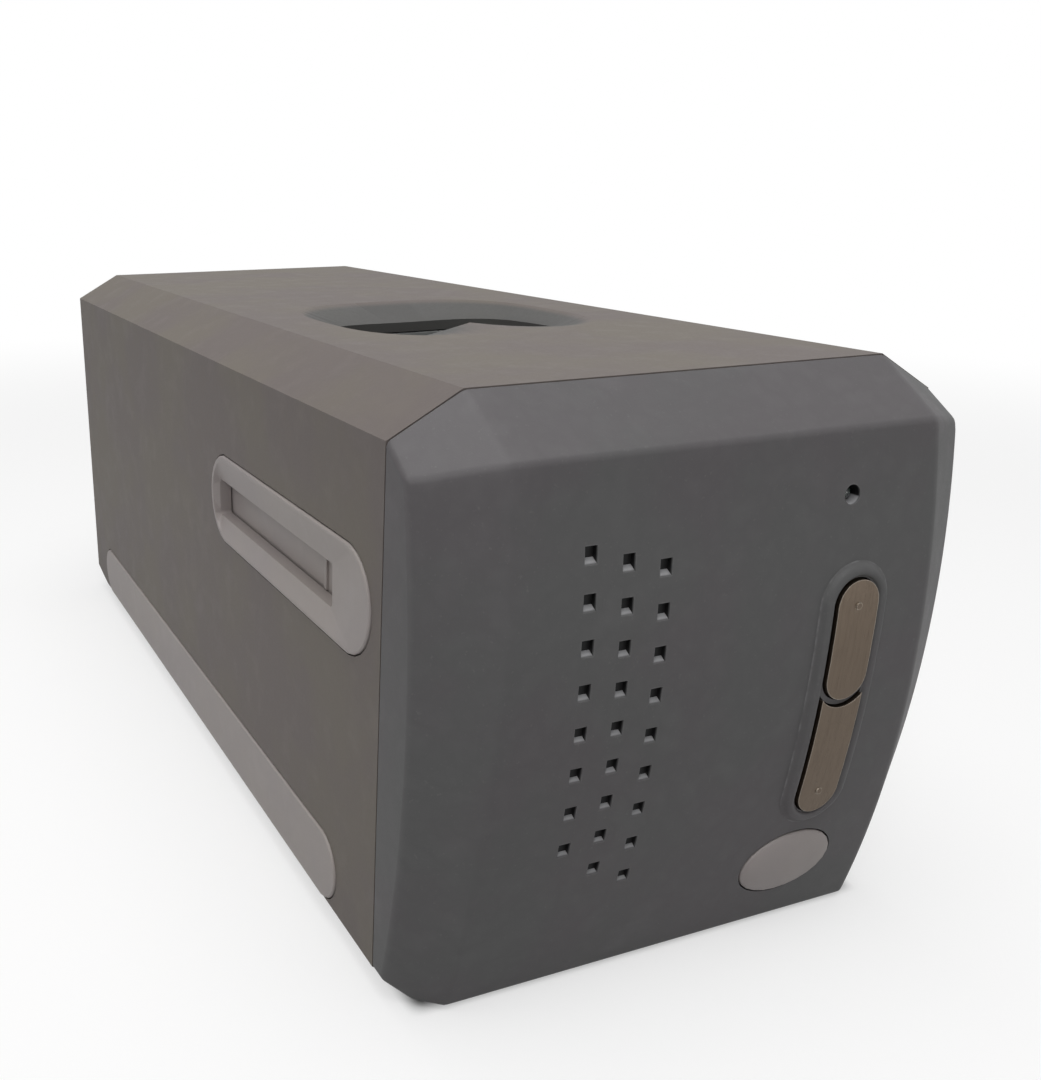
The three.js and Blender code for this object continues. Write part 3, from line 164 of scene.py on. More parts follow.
class Nodes:
    """A node tree under construction."""

    def __init__(self, tree: bpy.types.NodeTree) -> None:
        """Takes the tree to build in."""
        self.tree = tree

    def make(
        self, kind: str, settings: dict[str, Any] | None = None,
        inputs: dict[Any, Any] | None = None, output: str | int = 0,
    ) -> Signal:
        """Adds a node.

        Args:
            kind: the node's type.
            settings: its own settings, set first.
            inputs: values or signals for its sockets, by name or number.
            output: the socket that the signal comes out of.

        Returns:
            The signal of the chosen output.
        """
        node = self.tree.nodes.new(kind)
        for key, value in (settings or {}).items():
            setattr(node, key, value)
        for key, value in (inputs or {}).items():
            self.feed(node.inputs[key], value)
        return Signal(self, node.outputs[output])

    def feed(self, socket: bpy.types.NodeSocket, value: Any) -> None:
        """Gives a socket a signal or a plain value."""
        if isinstance(value, Signal):
            self.tree.links.new(value.socket, socket)
        elif isinstance(value, tuple) and socket.type == "RGBA":
            socket.default_value = (*value, 1.0)
        else:
            socket.default_value = value


class Bench(Nodes):
    """One material under construction."""

    def __init__(self, name: str) -> None:
        """Starts an empty material with one Principled shader."""
        self.material = bpy.data.materials.new(name)
        self.material.use_nodes = True
        super().__init__(self.material.node_tree)
        self.tree.nodes.clear()
        self.output = self.tree.nodes.new("ShaderNodeOutputMaterial")
        self.shader = self.tree.nodes.new("ShaderNodeBsdfPrincipled")
        self.tree.links.new(self.shader.outputs[0], self.output.inputs["Surface"])
        self._place: Signal | None = None

    def place(self) -> Signal:
        """Gives the point in the frame's axes, in metres."""
        if self._place is None:
            self._place = self.make("ShaderNodeTexCoord", output="Object")
        return self._place

    def along(self, axis: Axis) -> Signal:
        """Gives the point's place along one axis, in millimetres."""
        part = self.make("ShaderNodeSeparateXYZ", None, {0: self.place()}, output=axis.value)
        return part / MM

    def facing(self, axis: Axis) -> Signal:
        """Gives how far the surface faces along one axis, from -1 to 1."""
        turned = self.make(
            "ShaderNodeVectorTransform",
            {"vector_type": "NORMAL", "convert_from": "WORLD", "convert_to": "OBJECT"},
            {0: self.make("ShaderNodeNewGeometry", output="Normal")},
        )
        return self.make("ShaderNodeSeparateXYZ", None, {0: turned}, output=axis.value)

    def noise(
        self, size: float, detail: float = 2.0, stretch: tuple[float, float, float] = (1, 1, 1),
        shift: float = 0.0,
    ) -> Signal:
        """Gives soft noise around 0.5.

        Args:
            size: the size of its blotches in millimetres.
            detail: how many finer layers it has.
            stretch: how much longer a blotch is along each axis.
            shift: moves the pattern, so that two layers differ.

        Returns:
            The noise as a value.
        """
        scale = tuple(1 / (size * MM * share) for share in stretch)
        moved = self.make(
            "ShaderNodeMapping", None,
            {"Vector": self.place(), "Scale": scale, "Location": (shift, shift, shift)},
        )
        return self.make(
            "ShaderNodeTexNoise", {"noise_dimensions": "3D"},
            {"Vector": moved, "Scale": 1.0, "Detail": detail, "Roughness": 0.55},
        )

    def cells(self, size: float) -> Signal:
        """Gives the distance to the nearest cell centre, for cells of a size in millimetres."""
        return self.make(
            "ShaderNodeTexVoronoi", {"feature": "F1"},
            {"Vector": self.place(), "Scale": 1 / (size * MM)}, output="Distance",
        )

    def blend(self, share: Any, first: Any, second: Any) -> Signal:
        """Mixes two colours.

        Args:
            share: how much of the second colour shows.
            first: the colour below.
            second: the colour above.

        Returns:
            The mixed colour.
        """
        return self.make(
            "ShaderNodeMix", {"data_type": "RGBA"}, {"Factor": share, 6: first, 7: second},
            output=2,
        )

    def bump(self, height: Any, depth: float, strength: float = 1.0, under: Any = None) -> Signal:
        """Turns a height between 0 and 1 into a bumped normal.

        Args:
            height: the height signal.
            depth: what a height of 1 stands for, in millimetres.
            strength: how much of it counts.
            under: a normal that it adds to.

        Returns:
            The normal.
        """
        inputs = {"Height": height, "Distance": depth * MM, "Strength": strength}
        if under is not None:
            inputs["Normal"] = under
        return self.make("ShaderNodeBump", None, inputs)

    def rim(self, radius: float) -> Signal:
        """Finds sharp edges, for wear and painted highlights: 1 on an edge that is sharper than
        the radius in millimetres.
        """
        soft = self.make("ShaderNodeBevel", {"samples": 4}, {"Radius": radius * MM})
        plain = self.make("ShaderNodeNewGeometry", output="Normal")
        near = self.make(
            "ShaderNodeVectorMath", {"operation": "DOT_PRODUCT"}, {0: soft, 1: plain}, output=1,
        )
        return (1 - near).rise(0.02, 0.25)

    def finish(self, **sockets: Any) -> bpy.types.Material:
        """Feeds the shader's sockets and gives the material.

        Args:
            **sockets: values by the socket's name, with _ for a space.

        Returns:
            The finished material.
        """
        for name, value in sockets.items():
            self.feed(self.shader.inputs[name.replace("_", " ")], value)
        return self.material


# Finishes


@dataclass(frozen=True)
class Finish:
    """A finish that pieces share; each kind builds its own material once."""

    name: str
    slot: str
    colour: Colour
    roughness: float

    def build(self) -> bpy.types.Material:
        """Builds the material; each kind of finish has its own way."""
        raise NotImplementedError(self.name)

    def material(self) -> bpy.types.Material:
        """Gives the material, built the first time that it is asked for."""
        found = bpy.data.materials.get(self.name)
        return found or self.build()


@dataclass(frozen=True)
class MouldedPlastic(Finish):
    """Injection-moulded plastic with a spark-eroded grain, faint mottling, and lighter edges that
    are partly rubbed wear and partly painted highlight.
    """

    tint: Colour = (0.1, 0.1, 0.1)
    grain: float = 0.32
    depth: float = 0.012
    worn: Colour = (0.3, 0.3, 0.3)
    edge_wear_and_highlight: float = 0.25
    sheen: float = 0.5
    shade: Callable[[Bench, Signal], Signal] | None = None

    def build(self) -> bpy.types.Material:
        """Builds the material."""
        bench = Bench(self.name)
        patches = bench.noise(34.0, 3.0).rise(0.38, 0.62)
        cloud = bench.noise(7.0, 4.0, shift=3.1)
        speck = bench.noise(self.grain * 2.4, 2.0, shift=1.7)
        colour = bench.blend(patches * 0.55, self.colour, self.tint)
        colour = bench.blend((cloud - 0.5).size() * 0.3, colour, self.worn)
        colour = bench.blend(speck.rise(0.62, 0.8) * 0.16, colour, self.worn)
        # Sharp edges are painted lighter: partly rubbed wear, partly a painted highlight on the
        # rims.
        edge = bench.rim(0.5) * bench.noise(3.0, 3.0, shift=7.7).rise(0.35, 0.65)
        colour = bench.blend(edge * self.edge_wear_and_highlight, colour, self.worn)
        # The shade hook paints shade and highlights by place.
        if self.shade:
            colour = self.shade(bench, colour)
        rough = self.roughness + (cloud - 0.5) * 0.14 + (speck - 0.5) * 0.12 - edge * 0.08
        pits = bench.cells(self.grain)
        fine = bench.noise(self.grain * 0.7, 2.0)
        relief = bench.bump(pits * 0.6 + fine * 0.4, self.depth)
        relief = bench.bump(bench.noise(18.0, 1.0, shift=5.0), 0.05, 0.5, relief)
        return bench.finish(
            Base_Color=colour, Roughness=rough, Normal=relief, Specular_IOR_Level=self.sheen,
        )


@dataclass(frozen=True)
class BrushedMetal(Finish):
    """Metal with a straight brushed lay, darker streaks, handled patches and a painted highlight
    on its rims.
    """

    streak: Colour = (0.2, 0.19, 0.18)
    lay: Axis = Axis.UP
    coarse: float = 0.35
    depth: float = 0.01
    contrast: float = 0.3
    rim_highlight_colour: Colour = (0.7, 0.68, 0.64)

    def build(self) -> bpy.types.Material:
        """Builds the material."""
        bench = Bench(self.name)
        stretch = [1.0, 1.0, 1.0]
        stretch[self.lay.value] = 60.0
        lines = bench.noise(self.coarse, 4.0, tuple(stretch))
        wide = bench.noise(self.coarse * 5, 2.0, tuple(stretch), 4.0)
        touch = bench.noise(5.0, 3.0, shift=2.0)
        fine = (1 - lines).rise(0.3, 0.8) * self.contrast
        colour = bench.blend(fine, self.colour, self.streak)
        colour = bench.blend(wide.rise(0.4, 0.75) * (self.contrast * 0.7), colour, self.streak)
        # Painted highlight: the rims are painted in a pale colour.
        colour = bench.blend(bench.rim(0.35) * 0.6, colour, self.rim_highlight_colour)
        rough = self.roughness + (lines - 0.5) * 0.2 + touch.rise(0.45, 0.75) * 0.1
        relief = bench.bump(lines, self.depth)
        return bench.finish(Base_Color=colour, Metallic=1.0, Roughness=rough, Normal=relief)


@dataclass(frozen=True)
class TurnedSteel(Finish):
    """Ground or drawn steel rod, with faint rings round its length and an oil film; a thread's
    grooves get painted shade.
    """

    ring: float = 0.0
    ring_depth: float = 0.25

    def build(self) -> bpy.types.Material:
        """Builds the material."""
        bench = Bench(self.name)
        film = bench.noise(9.0, 3.0, (1, 3, 1))
        fine = bench.noise(0.2, 3.0, (8, 1, 8))
        colour = bench.blend(film.rise(0.45, 0.7) * 0.35, self.colour, srgb(120, 112, 96))
        rough = self.roughness + (fine - 0.5) * 0.2 + film.rise(0.5, 0.75) * 0.15
        relief = bench.bump(fine, 0.006)
        if self.ring:
            across, up = bench.along(Axis.ACROSS), bench.along(Axis.UP)
            turn = bench.make(
                "ShaderNodeMath", {"operation": "ARCTAN2"}, {0: across, 1: up - SCREW_HEIGHT},
            )
            groove = (turn + bench.along(Axis.ALONG) * (2 * math.pi / self.ring)).wave()
            relief = bench.bump(groove.rise(-0.5, 0.7), self.ring_depth, 1.0, relief)
            # Painted shade: the thread's grooves are painted darker.
            colour = bench.blend((1 - groove.rise(-0.9, 0.1)) * 0.7, colour, srgb(52, 48, 42))
        return bench.finish(Base_Color=colour, Metallic=1.0, Roughness=rough, Normal=relief)


@dataclass(frozen=True)
class FootRubber(Finish):
    """Dull rubber with moulding rings, dusty where it touches the desk."""

    def build(self) -> bpy.types.Material:
        """Builds the material."""
        bench = Bench(self.name)
        dust = bench.noise(2.4, 4.0).rise(0.4, 0.7) * (0.9 - bench.along(Axis.UP)).rise(0, 1)
        fine = bench.noise(0.25, 2.0)
        colour = bench.blend(dust * 0.5, self.colour, srgb(120, 116, 110))
        return bench.finish(
            Base_Color=colour, Roughness=self.roughness + (fine - 0.5) * 0.2,
            Normal=bench.bump(fine, 0.03),
        )


@dataclass(frozen=True)
class SolderMask(Finish):
    """Circuit board with tracks under a green mask, and tinned pads."""

    def build(self) -> bpy.types.Material:
        """Builds the material."""
        bench = Bench(self.name)
        tracks = bench.make(
            "ShaderNodeTexBrick", {"offset": 0.4, "squash": 0.6},
            {
                "Vector": bench.place(), "Scale": 1 / (16 * MM), "Mortar Size": 0.035,
                "Mortar Smooth": 0.1, "Brick Width": 0.4, "Row Height": 0.16,
            }, output="Fac",
        )
        pads = 1 - bench.cells(3.1).rise(0.10, 0.13)
        mask = bench.blend(tracks, self.colour, srgb(58, 128, 76))
        colour = bench.blend(pads, mask, srgb(196, 192, 182))
        cloud = bench.noise(8.0, 3.0)
        colour = bench.blend(cloud.rise(0.4, 0.8) * 0.2, colour, srgb(16, 50, 30))
        return bench.finish(
            Base_Color=colour, Metallic=pads * 0.9,
            Roughness=self.roughness + (cloud - 0.5) * 0.2,
            Normal=bench.bump(tracks.most(pads), 0.04),
        )


@dataclass(frozen=True)
class ClearPart(Finish):
    """Clear glass or plastic with the faintest dust."""

    def build(self) -> bpy.types.Material:
        """Builds the material."""
        bench = Bench(self.name)
        dust = bench.noise(1.4, 4.0).rise(0.55, 0.8)
        return bench.finish(
            Base_Color=self.colour, Roughness=self.roughness + dust * 0.12,
            Transmission_Weight=0.92, IOR=1.5,
        )


@dataclass(frozen=True)
class SilverMirror(Finish):
    """Front-silvered mirror with a little haze."""

    def build(self) -> bpy.types.Material:
        """Builds the material."""
        bench = Bench(self.name)
        haze = bench.noise(6.0, 3.0).rise(0.5, 0.8)
        colour = bench.blend(haze * 0.15, self.colour, srgb(176, 186, 190))
        return bench.finish(
            Base_Color=colour, Metallic=1.0, Roughness=self.roughness + haze * 0.05,
        )


@dataclass(frozen=True)
class LampTube(Finish):
    """Opal lamp with darkened ends."""

    half: float = 24.0

    def build(self) -> bpy.types.Material:
        """Builds the material."""
        bench = Bench(self.name)
        ends = bench.along(Axis.ACROSS).size().rise(self.half * 0.75, self.half)
        cloud = bench.noise(2.0, 3.0)
        colour = bench.blend(ends * 0.6, self.colour, srgb(150, 140, 120))
        return bench.finish(
            Base_Color=colour, Roughness=self.roughness + (cloud - 0.5) * 0.1,
            Coat_Weight=0.4, Normal=bench.bump(cloud, 0.01),
        )


def well_painted_shade(bench: Bench, colour: Signal) -> Signal:
    """Paints shade on the slope of the well: the shell's brown is painted a darker, neutral grey
    there.

    Args:
        bench: the shell's material.
        colour: the colour so far.

    Returns:
        The colour with the painted shade on the slope.
    """
    across, along, up = (bench.along(axis) for axis in Axis)
    inside = (SHELL_TOP - up).rise(0, 0.9)
    inside = inside * (WELL_REACH[0] - across.size()).rise(0, 2)
    inside = inside * (WELL_REACH[1] - (along - WELL_MIDDLE).size()).rise(0, 2)
    # Painted shade: the slope inside the well is painted a darker grey.
    return bench.blend(inside * 0.85, colour, srgb(82, 83, 82))


def pits_painted_shade_and_highlight(bench: Bench, colour: Signal) -> Signal:
    """Paints shade on the walls of the front's pits and of the light's hole, and a highlight on
    their ramps.

    Args:
        bench: the front's material.
        colour: the colour so far.

    Returns:
        The colour with the painted shade and highlights of the pits.
    """
    across, along, up = (bench.along(axis) for axis in Axis)
    above = up - FrontForm.bulge
    depth = along - FrontForm.front - above * above / (2 * FrontForm.radius)
    light = (across - LIGHT_PLACE[0]).size() + (DIMPLE_REACH - LIGHT_REACH)
    aside = (across - DIMPLE_MIDDLE).size().least(light)
    pit = depth.rise(0.12, 0.5) * (4 - depth).rise(0, 0.3)
    pit = pit * (DIMPLE_REACH - aside).rise(0, 0.3) * (PITS_TOP - up).rise(0, 1)
    ramp = bench.facing(Axis.UP).rise(0.2, 0.4)
    # Painted shade: pit walls that don't face up are painted near black.
    colour = bench.blend(pit * (1 - ramp) * 0.93, colour, srgb(14, 14, 15))
    # Painted highlight: the ramps, which face up, are painted light grey.
    return bench.blend(pit * ramp * 0.9, colour, srgb(186, 186, 188))


class Finishes:
    """Every finish of the machine: its name, its slot in the record, then its looks."""

    shell = MouldedPlastic(
        "shell_plastic", "shell", srgb(114, 107, 99), 0.5, tint=srgb(109, 100, 101),
        worn=srgb(150, 143, 135), edge_wear_and_highlight=0.3, sheen=0.3, shade=well_painted_shade,
    )
    front = MouldedPlastic(
        "front_plastic", "front", srgb(99, 99, 99), 0.45, tint=srgb(101, 96, 99),
        worn=srgb(150, 148, 150), edge_wear_and_highlight=0.45, grain=0.28, sheen=0.22, shade=pits_painted_shade_and_highlight,
    )
    trim = MouldedPlastic(
        "trim_plastic", "trim", srgb(168, 160, 156), 0.44, tint=srgb(162, 154, 154),
        worn=srgb(200, 194, 190), edge_wear_and_highlight=0.35, grain=0.26, depth=0.008,
    )
    base = MouldedPlastic(
        "base_plastic", "base", srgb(46, 46, 47), 0.62, tint=srgb(40, 40, 42),
        worn=srgb(86, 86, 86), grain=0.5, depth=0.03,
    )
    # The cup's grey is its own colour lifted lighter: painted light that makes up for the shade
    # inside the well.
    well = MouldedPlastic(
        "well_plastic", "well", srgb(128, 130, 128), 0.5, tint=srgb(120, 121, 120),
        worn=srgb(150, 150, 148), grain=0.3,
    )
    frame = MouldedPlastic(
        "frame_plastic", "frame", srgb(34, 35, 38), 0.58, tint=srgb(28, 29, 31),
        worn=srgb(70, 70, 72), grain=0.45, depth=0.02,
    )
    chip = MouldedPlastic(
        "chip_plastic", "chip", srgb(30, 30, 32), 0.42, tint=srgb(34, 34, 36),
        worn=srgb(80, 80, 84), grain=0.2, depth=0.006,
    )
    buttons = BrushedMetal(
        "button_metal", "buttons", srgb(120, 107, 94), 0.3, streak=srgb(82, 72, 62),
        coarse=0.12, depth=0.003, rim_highlight_colour=srgb(224, 216, 204),
    )
    alloy = BrushedMetal(
        "motor_alloy", "alloy", srgb(186, 188, 190), 0.42, streak=srgb(130, 130, 132),
        lay=Axis.ALONG, coarse=0.5,
    )
    steel = TurnedSteel("rod_steel", "steel", srgb(196, 197, 200), 0.24)
    thread = TurnedSteel("screw_steel", "steel", srgb(188, 188, 190), 0.3, ring=2.54)
    rubber = FootRubber("foot_rubber", "rubber", srgb(34, 34, 34), 0.82)
    board = SolderMask("board_mask", "board", srgb(26, 84, 52), 0.38)
    clear = ClearPart("clear_glass", "clear", (0.9, 0.95, 0.96), 0.03)
    mirror = SilverMirror("silver_mirror", "mirror", (0.92, 0.94, 0.95), 0.02)
    lamp = LampTube("lamp_opal", "lamp", srgb(244, 242, 232), 0.3)


# Modelling tools


def put_in_scene(name: str, data: Any) -> bpy.types.Object:
    """Makes an object of a mesh, camera or light and puts it in the scene."""
    thing = bpy.data.objects.new(name, data)
    bpy.context.scene.collection.objects.link(thing)
    return thing


class Picked(Enum):
    """What is picked in an edit mesh."""

    EDGE = "edges"
    VERT = "verts"


class Workshop:
    """Modelling by hand: selecting, editing and finishing one piece at a time."""

    @staticmethod
    def clear_selection() -> None:
        """Leaves edit mode and deselects every object."""
        if bpy.context.mode != "OBJECT":
            bpy.ops.object.mode_set(mode="OBJECT")
        bpy.ops.object.select_all(action="DESELECT")

    @classmethod
    def take(cls, piece: bpy.types.Object) -> None:
        """Makes a piece the only selected and active one."""
        cls.clear_selection()
        piece.select_set(True)
        bpy.context.view_layer.objects.active = piece

    @classmethod
    @contextmanager
    def editing(cls, piece: bpy.types.Object) -> Iterator[bmesh.types.BMesh]:
        """Opens a piece in edit mode with nothing selected, and yields its edit mesh."""
        cls.take(piece)
        bpy.ops.object.mode_set(mode="EDIT")
        bpy.ops.mesh.select_all(action="DESELECT")
        yield bmesh.from_edit_mesh(piece.data)
        bpy.ops.object.mode_set(mode="OBJECT")

    @classmethod
    @contextmanager
    def picked(
        cls, piece: bpy.types.Object, what: Picked, test: Callable[[Any], bool],
    ) -> Iterator[int]:
        """Opens a piece in edit mode with only the wanted edges or points selected.

        Args:
            piece: the piece to edit.
            what: whether edges or points are picked.
            test: says whether one is wanted.

        Yields:
            How many are selected.
        """
        with cls.editing(piece) as mesh:
            bpy.ops.mesh.select_mode(type=what.name)
            bpy.ops.mesh.select_all(action="DESELECT")
            wanted = [part for part in getattr(mesh, what.value) if test(part)]
            for part in wanted:
                part.select_set(True)
            if what is Picked.VERT:
                mesh.select_flush(True)
            yield len(wanted)

    @staticmethod
    def extrude(
        scale: Sequence[float] | None = None, move: Sequence[float] | None = None,
        centre: Sequence[float] = (0, 0, 0),
    ) -> None:
        """Extrudes the selected edges, then scales and moves the new ones.

        Args:
            scale: their scale along each axis.
            move: their step in millimetres.
            centre: what they are scaled about, in metres.
        """
        bpy.ops.mesh.extrude_edges_move()
        if scale:
            bpy.ops.transform.resize(value=scale, center_override=centre)
        if move:
            bpy.ops.transform.translate(value=[step * MM for step in move])

    @staticmethod
    def face_outwards() -> None:
        """Turns every face of the piece in edit mode outwards."""
        bpy.ops.mesh.select_all(action="SELECT")
        bpy.ops.mesh.normals_make_consistent(inside=False)

    @classmethod
    def apply_place(cls, piece: bpy.types.Object) -> None:
        """Moves a piece's place, turn and scale into its mesh."""
        cls.take(piece)
        bpy.ops.object.transform_apply(location=True, rotation=True, scale=True)

    @classmethod
    def modify(cls, piece: bpy.types.Object, kind: str, **settings: Any) -> None:
        """Adds a modifier and applies it.

        Args:
            piece: the piece.
            kind: the modifier's type.
            **settings: its settings by name.
        """
        cls.take(piece)
        modifier = piece.modifiers.new(kind.lower(), kind)
        for name, value in settings.items():
            setattr(modifier, name, value)
        bpy.ops.object.modifier_apply(modifier=modifier.name)

    @classmethod
    def bevel_all(cls, piece: bpy.types.Object, width: float, segments: int, angle: float) -> None:
        """Rounds every edge that is sharper than an angle.

        Args:
            piece: the piece.
            width: the rounding's width in millimetres.
            segments: its steps.
            angle: the least angle in degrees.
        """
        cls.modify(
            piece, "BEVEL", width=width * MM, segments=segments, limit_method="ANGLE",
            angle_limit=math.radians(angle), use_clamp_overlap=True, miter_outer="MITER_ARC",
        )

    @classmethod
    def smooth(cls, piece: bpy.types.Object, angle: float) -> None:
        """Shades a piece smooth, but for edges sharper than an angle in degrees.

        The normals follow the larger faces, so a flat face stays flat up to its rounded rim.

        Args:
            piece: the piece.
            angle: the sharpest angle that is still shaded smooth.
        """
        cls.take(piece)
        bpy.ops.object.shade_smooth_by_angle(angle=math.radians(angle))
        cls.modify(piece, "WEIGHTED_NORMAL", mode="FACE_AREA", weight=80, keep_sharp=True)

    @classmethod
    def prism(
        cls, middle: tuple[float, float, float], radius: float, length: float,
        half_straight: float = 0.0, axis: Axis = Axis.ALONG, squash: float = 1.0,
        sides: int = 64,
    ) -> bpy.types.Object:
        """Makes a round bar, or one with a long round-ended section.

        Args:
            middle: its middle, in millimetres.
            radius: the radius of its round ends.
            length: how long the bar is along its axis.
            half_straight: half the length of the straight part between the round ends, which
                runs upwards on a bar that lies along the machine, and along it on one across.
            axis: the way that the bar lies.
            squash: its height over its width.
            sides: how many sides a whole circle has.

        Returns:
            The bar.
        """
        cls.clear_selection()
        turn = (math.pi / 2, 0, 0) if axis is Axis.ALONG else (0, math.pi / 2, 0)
        bpy.ops.mesh.primitive_cylinder_add(
            vertices=sides, radius=radius * MM, depth=length * MM, rotation=turn,
        )
        bar = bpy.context.active_object
        cls.apply_place(bar)
        long_axis = 2 if axis is Axis.ALONG else 1
        if half_straight:
            cls.stretch(bar, long_axis, half_straight)
        bar.scale = (1, 1, squash)
        bar.location = Vector(middle) * MM
        cls.apply_place(bar)
        return bar

    @classmethod
    def stretch(cls, piece: bpy.types.Object, axis: int, step: float) -> None:
        """Moves both halves of a piece away from its middle.

        Args:
            piece: the piece, with its middle at the origin.
            axis: the number of the axis to stretch it along.
            step: how far each half moves, in millimetres.
        """
        for side in (1, -1):
            with cls.picked(piece, Picked.VERT, lambda vert: side * vert.co[axis] > NEAR_ZERO):
                value = [0.0, 0.0, 0.0]
                value[axis] = side * step * MM
                bpy.ops.transform.translate(value=value)

    @classmethod
    def carve(cls, piece: bpy.types.Object, tools: Sequence[bpy.types.Object], how: str) -> None:
        """Joins or cuts a piece with other solids, which are used up.

        Args:
            piece: the piece that stays.
            tools: the solids that work on it.
            how: UNION or DIFFERENCE.
        """
        for tool in tools:
            cls.modify(piece, "BOOLEAN", operation=how, solver="EXACT", object=tool)
            bpy.data.objects.remove(tool)

    @classmethod
    def weld(cls, pieces: Sequence[bpy.types.Object]) -> bpy.types.Object:
        """Makes one object of several and gives it."""
        cls.take(pieces[0])
        for piece in pieces:
            piece.select_set(True)
        bpy.ops.object.join()
        return bpy.context.active_object

    @classmethod
    def copy(cls, piece: bpy.types.Object, step: Vector) -> bpy.types.Object:
        """Copies a piece with its own mesh, moved by a step in metres."""
        twin = put_in_scene(piece.name, piece.data.copy())
        twin.location = step
        cls.apply_place(twin)
        return twin


@dataclass
class Fitter:
    """Puts finished pieces onto the machine: their body, finish and what they stand for."""

    count: int = 0

    def fit(self, piece: bpy.types.Object, node: str, finish: Finish) -> None:
        """Dresses a piece and hangs it on the body of the solid that it stands for.

        Args:
            piece: the finished piece.
            node: the frame's solid that it replaces.
            finish: its finish.
        """
        body = frame["nodes"][node]["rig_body"]
        paint(piece, finish)
        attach(piece, body)
        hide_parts(node)
        self.count += 1
        log.info("%s rides on %s, %d faces", piece.name, body, len(piece.data.polygons))


def paint(piece: bpy.types.Object, finish: Finish) -> None:
    """Gives a piece or a solid of the frame its finish."""
    piece.data.materials.clear()
    piece.data.materials.append(finish.material())


@dataclass(frozen=True)
class Softened:
    """How a solid's edges are rounded: first its long outer creases, then all that is sharp."""

    node: str
    finish: Finish
    crease: float = 0.0
    edge: float = 0.25
    segments: int = 2
    angle: float = 32.0
    smooth: float = 30.0

    def build(self, fitter: Fitter) -> None:
        """Copies the solid, rounds its edges and fits the copy in its place."""
        piece = copy_solid(self.node, f"{self.node}_rounded")
        if self.crease:
            self.round_creases(piece)
        if self.edge:
            Workshop.bevel_all(piece, self.edge, self.segments, self.angle)
        Workshop.smooth(piece, self.smooth)
        fitter.fit(piece, self.node, self.finish)

    def round_creases(self, piece: bpy.types.Object) -> None:
        """Rounds the long creases of the casing's outer form."""
        with Workshop.picked(piece, Picked.EDGE, is_outer_crease) as count:
            if count:
                bpy.ops.mesh.bevel(
                    offset=self.crease * MM, segments=4, profile=0.5, affect="EDGES",
                    clamp_overlap=True,
                )
        log.info("%s: %d creases rounded", piece.name, count)


def copy_solid(node: str, name: str) -> bpy.types.Object:
    """Copies a solid's mesh into a new piece with its points joined and flat faces whole.

    Args:
        node: the frame's solid.
        name: the new piece's name.

    Returns:
        The new piece.
    """
    piece = put_in_scene(name, frame["nodes"][node].data.copy())
    with Workshop.editing(piece):
        bpy.ops.mesh.select_all(action="SELECT")
        bpy.ops.mesh.remove_doubles(threshold=JOIN_DISTANCE * MM)
        bpy.ops.mesh.dissolve_limited(angle_limit=FLAT_ANGLE)
        bpy.ops.mesh.select_all(action="DESELECT")
    return piece


def is_border(edge: bmesh.types.BMEdge) -> bool:
    """Says whether an edge has a face on one side only."""
    return edge.is_boundary


def is_outer_crease(edge: bmesh.types.BMEdge) -> bool:
    """Says whether an edge is one of the casing's long outer creases."""
    short = edge.calc_length() < CREASE_LENGTH * MM
    if len(edge.link_faces) != 2 or short or not edge.is_convex:
        return False
    turn = edge.calc_face_angle(0.0)
    if not CREASE_ANGLES[0] < turn < CREASE_ANGLES[1]:
        return False
    middle = (edge.verts[0].co + edge.verts[1].co) / 2 / MM
    near_side = abs(middle.x) > CASING_HALF - CREASE_ZONE[0]
    near_top = middle.z > CASING_TOP - CREASE_ZONE[1]
    outward = sum((face.normal for face in edge.link_faces), Vector())
    # This centre is nearer the machine's middle than the edge, so the end creases count too
    centre = Vector((0, middle.y * 0.6, CASING_TOP / 2))
    return (near_side or near_top) and outward.dot(middle - centre) > 0


# The bulged front


@dataclass(frozen=True)
class FrontForm:
    """The casing's front as a depth over the plane that it faces, in millimetres."""

    half: float = CASING_HALF
    front: float = -134.7
    seam: float = -115.75
    base: float = 1.2
    top: float = SHELL_TOP
    radius: float = 244.5
    bulge: float = 62.6
    crest: float = 108.3
    crest_at_side: float = 105.43
    facet_depth: float = 7.8
    facet_low: float = 10.2
    facet_high: float = 14.4
    shoulder: float = 45.7
    shoulder_drop: float = 7.6
    toe: float = 54.3
    toe_rise: float = 4.1
    slope_out: float = 0.7987
    slope_up: float = 1.4712

    def arc(self, up: float) -> float:
        """Gives the bulge's depth at a height."""
        return self.front + self.radius - math.sqrt(self.radius ** 2 - (up - self.bulge) ** 2)

    def facet(self, up: float) -> float:
        """Gives the width of the upright facets at a height."""
        share = (up - self.base) / (self.crest - self.base)
        return self.facet_low + (self.facet_high - self.facet_low) * share

    def depth(self, across: float, up: float) -> float:
        """Gives the depth of the front at a place.

        Args:
            across: how far it is from the middle.
            up: how high it is.

        Returns:
            Its place along the machine.
        """
        across = abs(across)
        facet = self.facet(min(up, self.crest))
        bent = max(0.0, across - self.half + facet) * self.facet_depth / facet
        face = self.arc(up) + bent
        rise = (self.seam - self.arc(self.crest)) / (self.top - self.crest)
        chamfer = self.arc(self.crest) + (up - self.crest) * rise
        corner_up = self.top - self.shoulder_drop
        corner = self.slope_out * (across - self.half) + self.slope_up * (up - corner_up)
        corner += self.seam
        return min(self.seam, max(face, chamfer, corner))


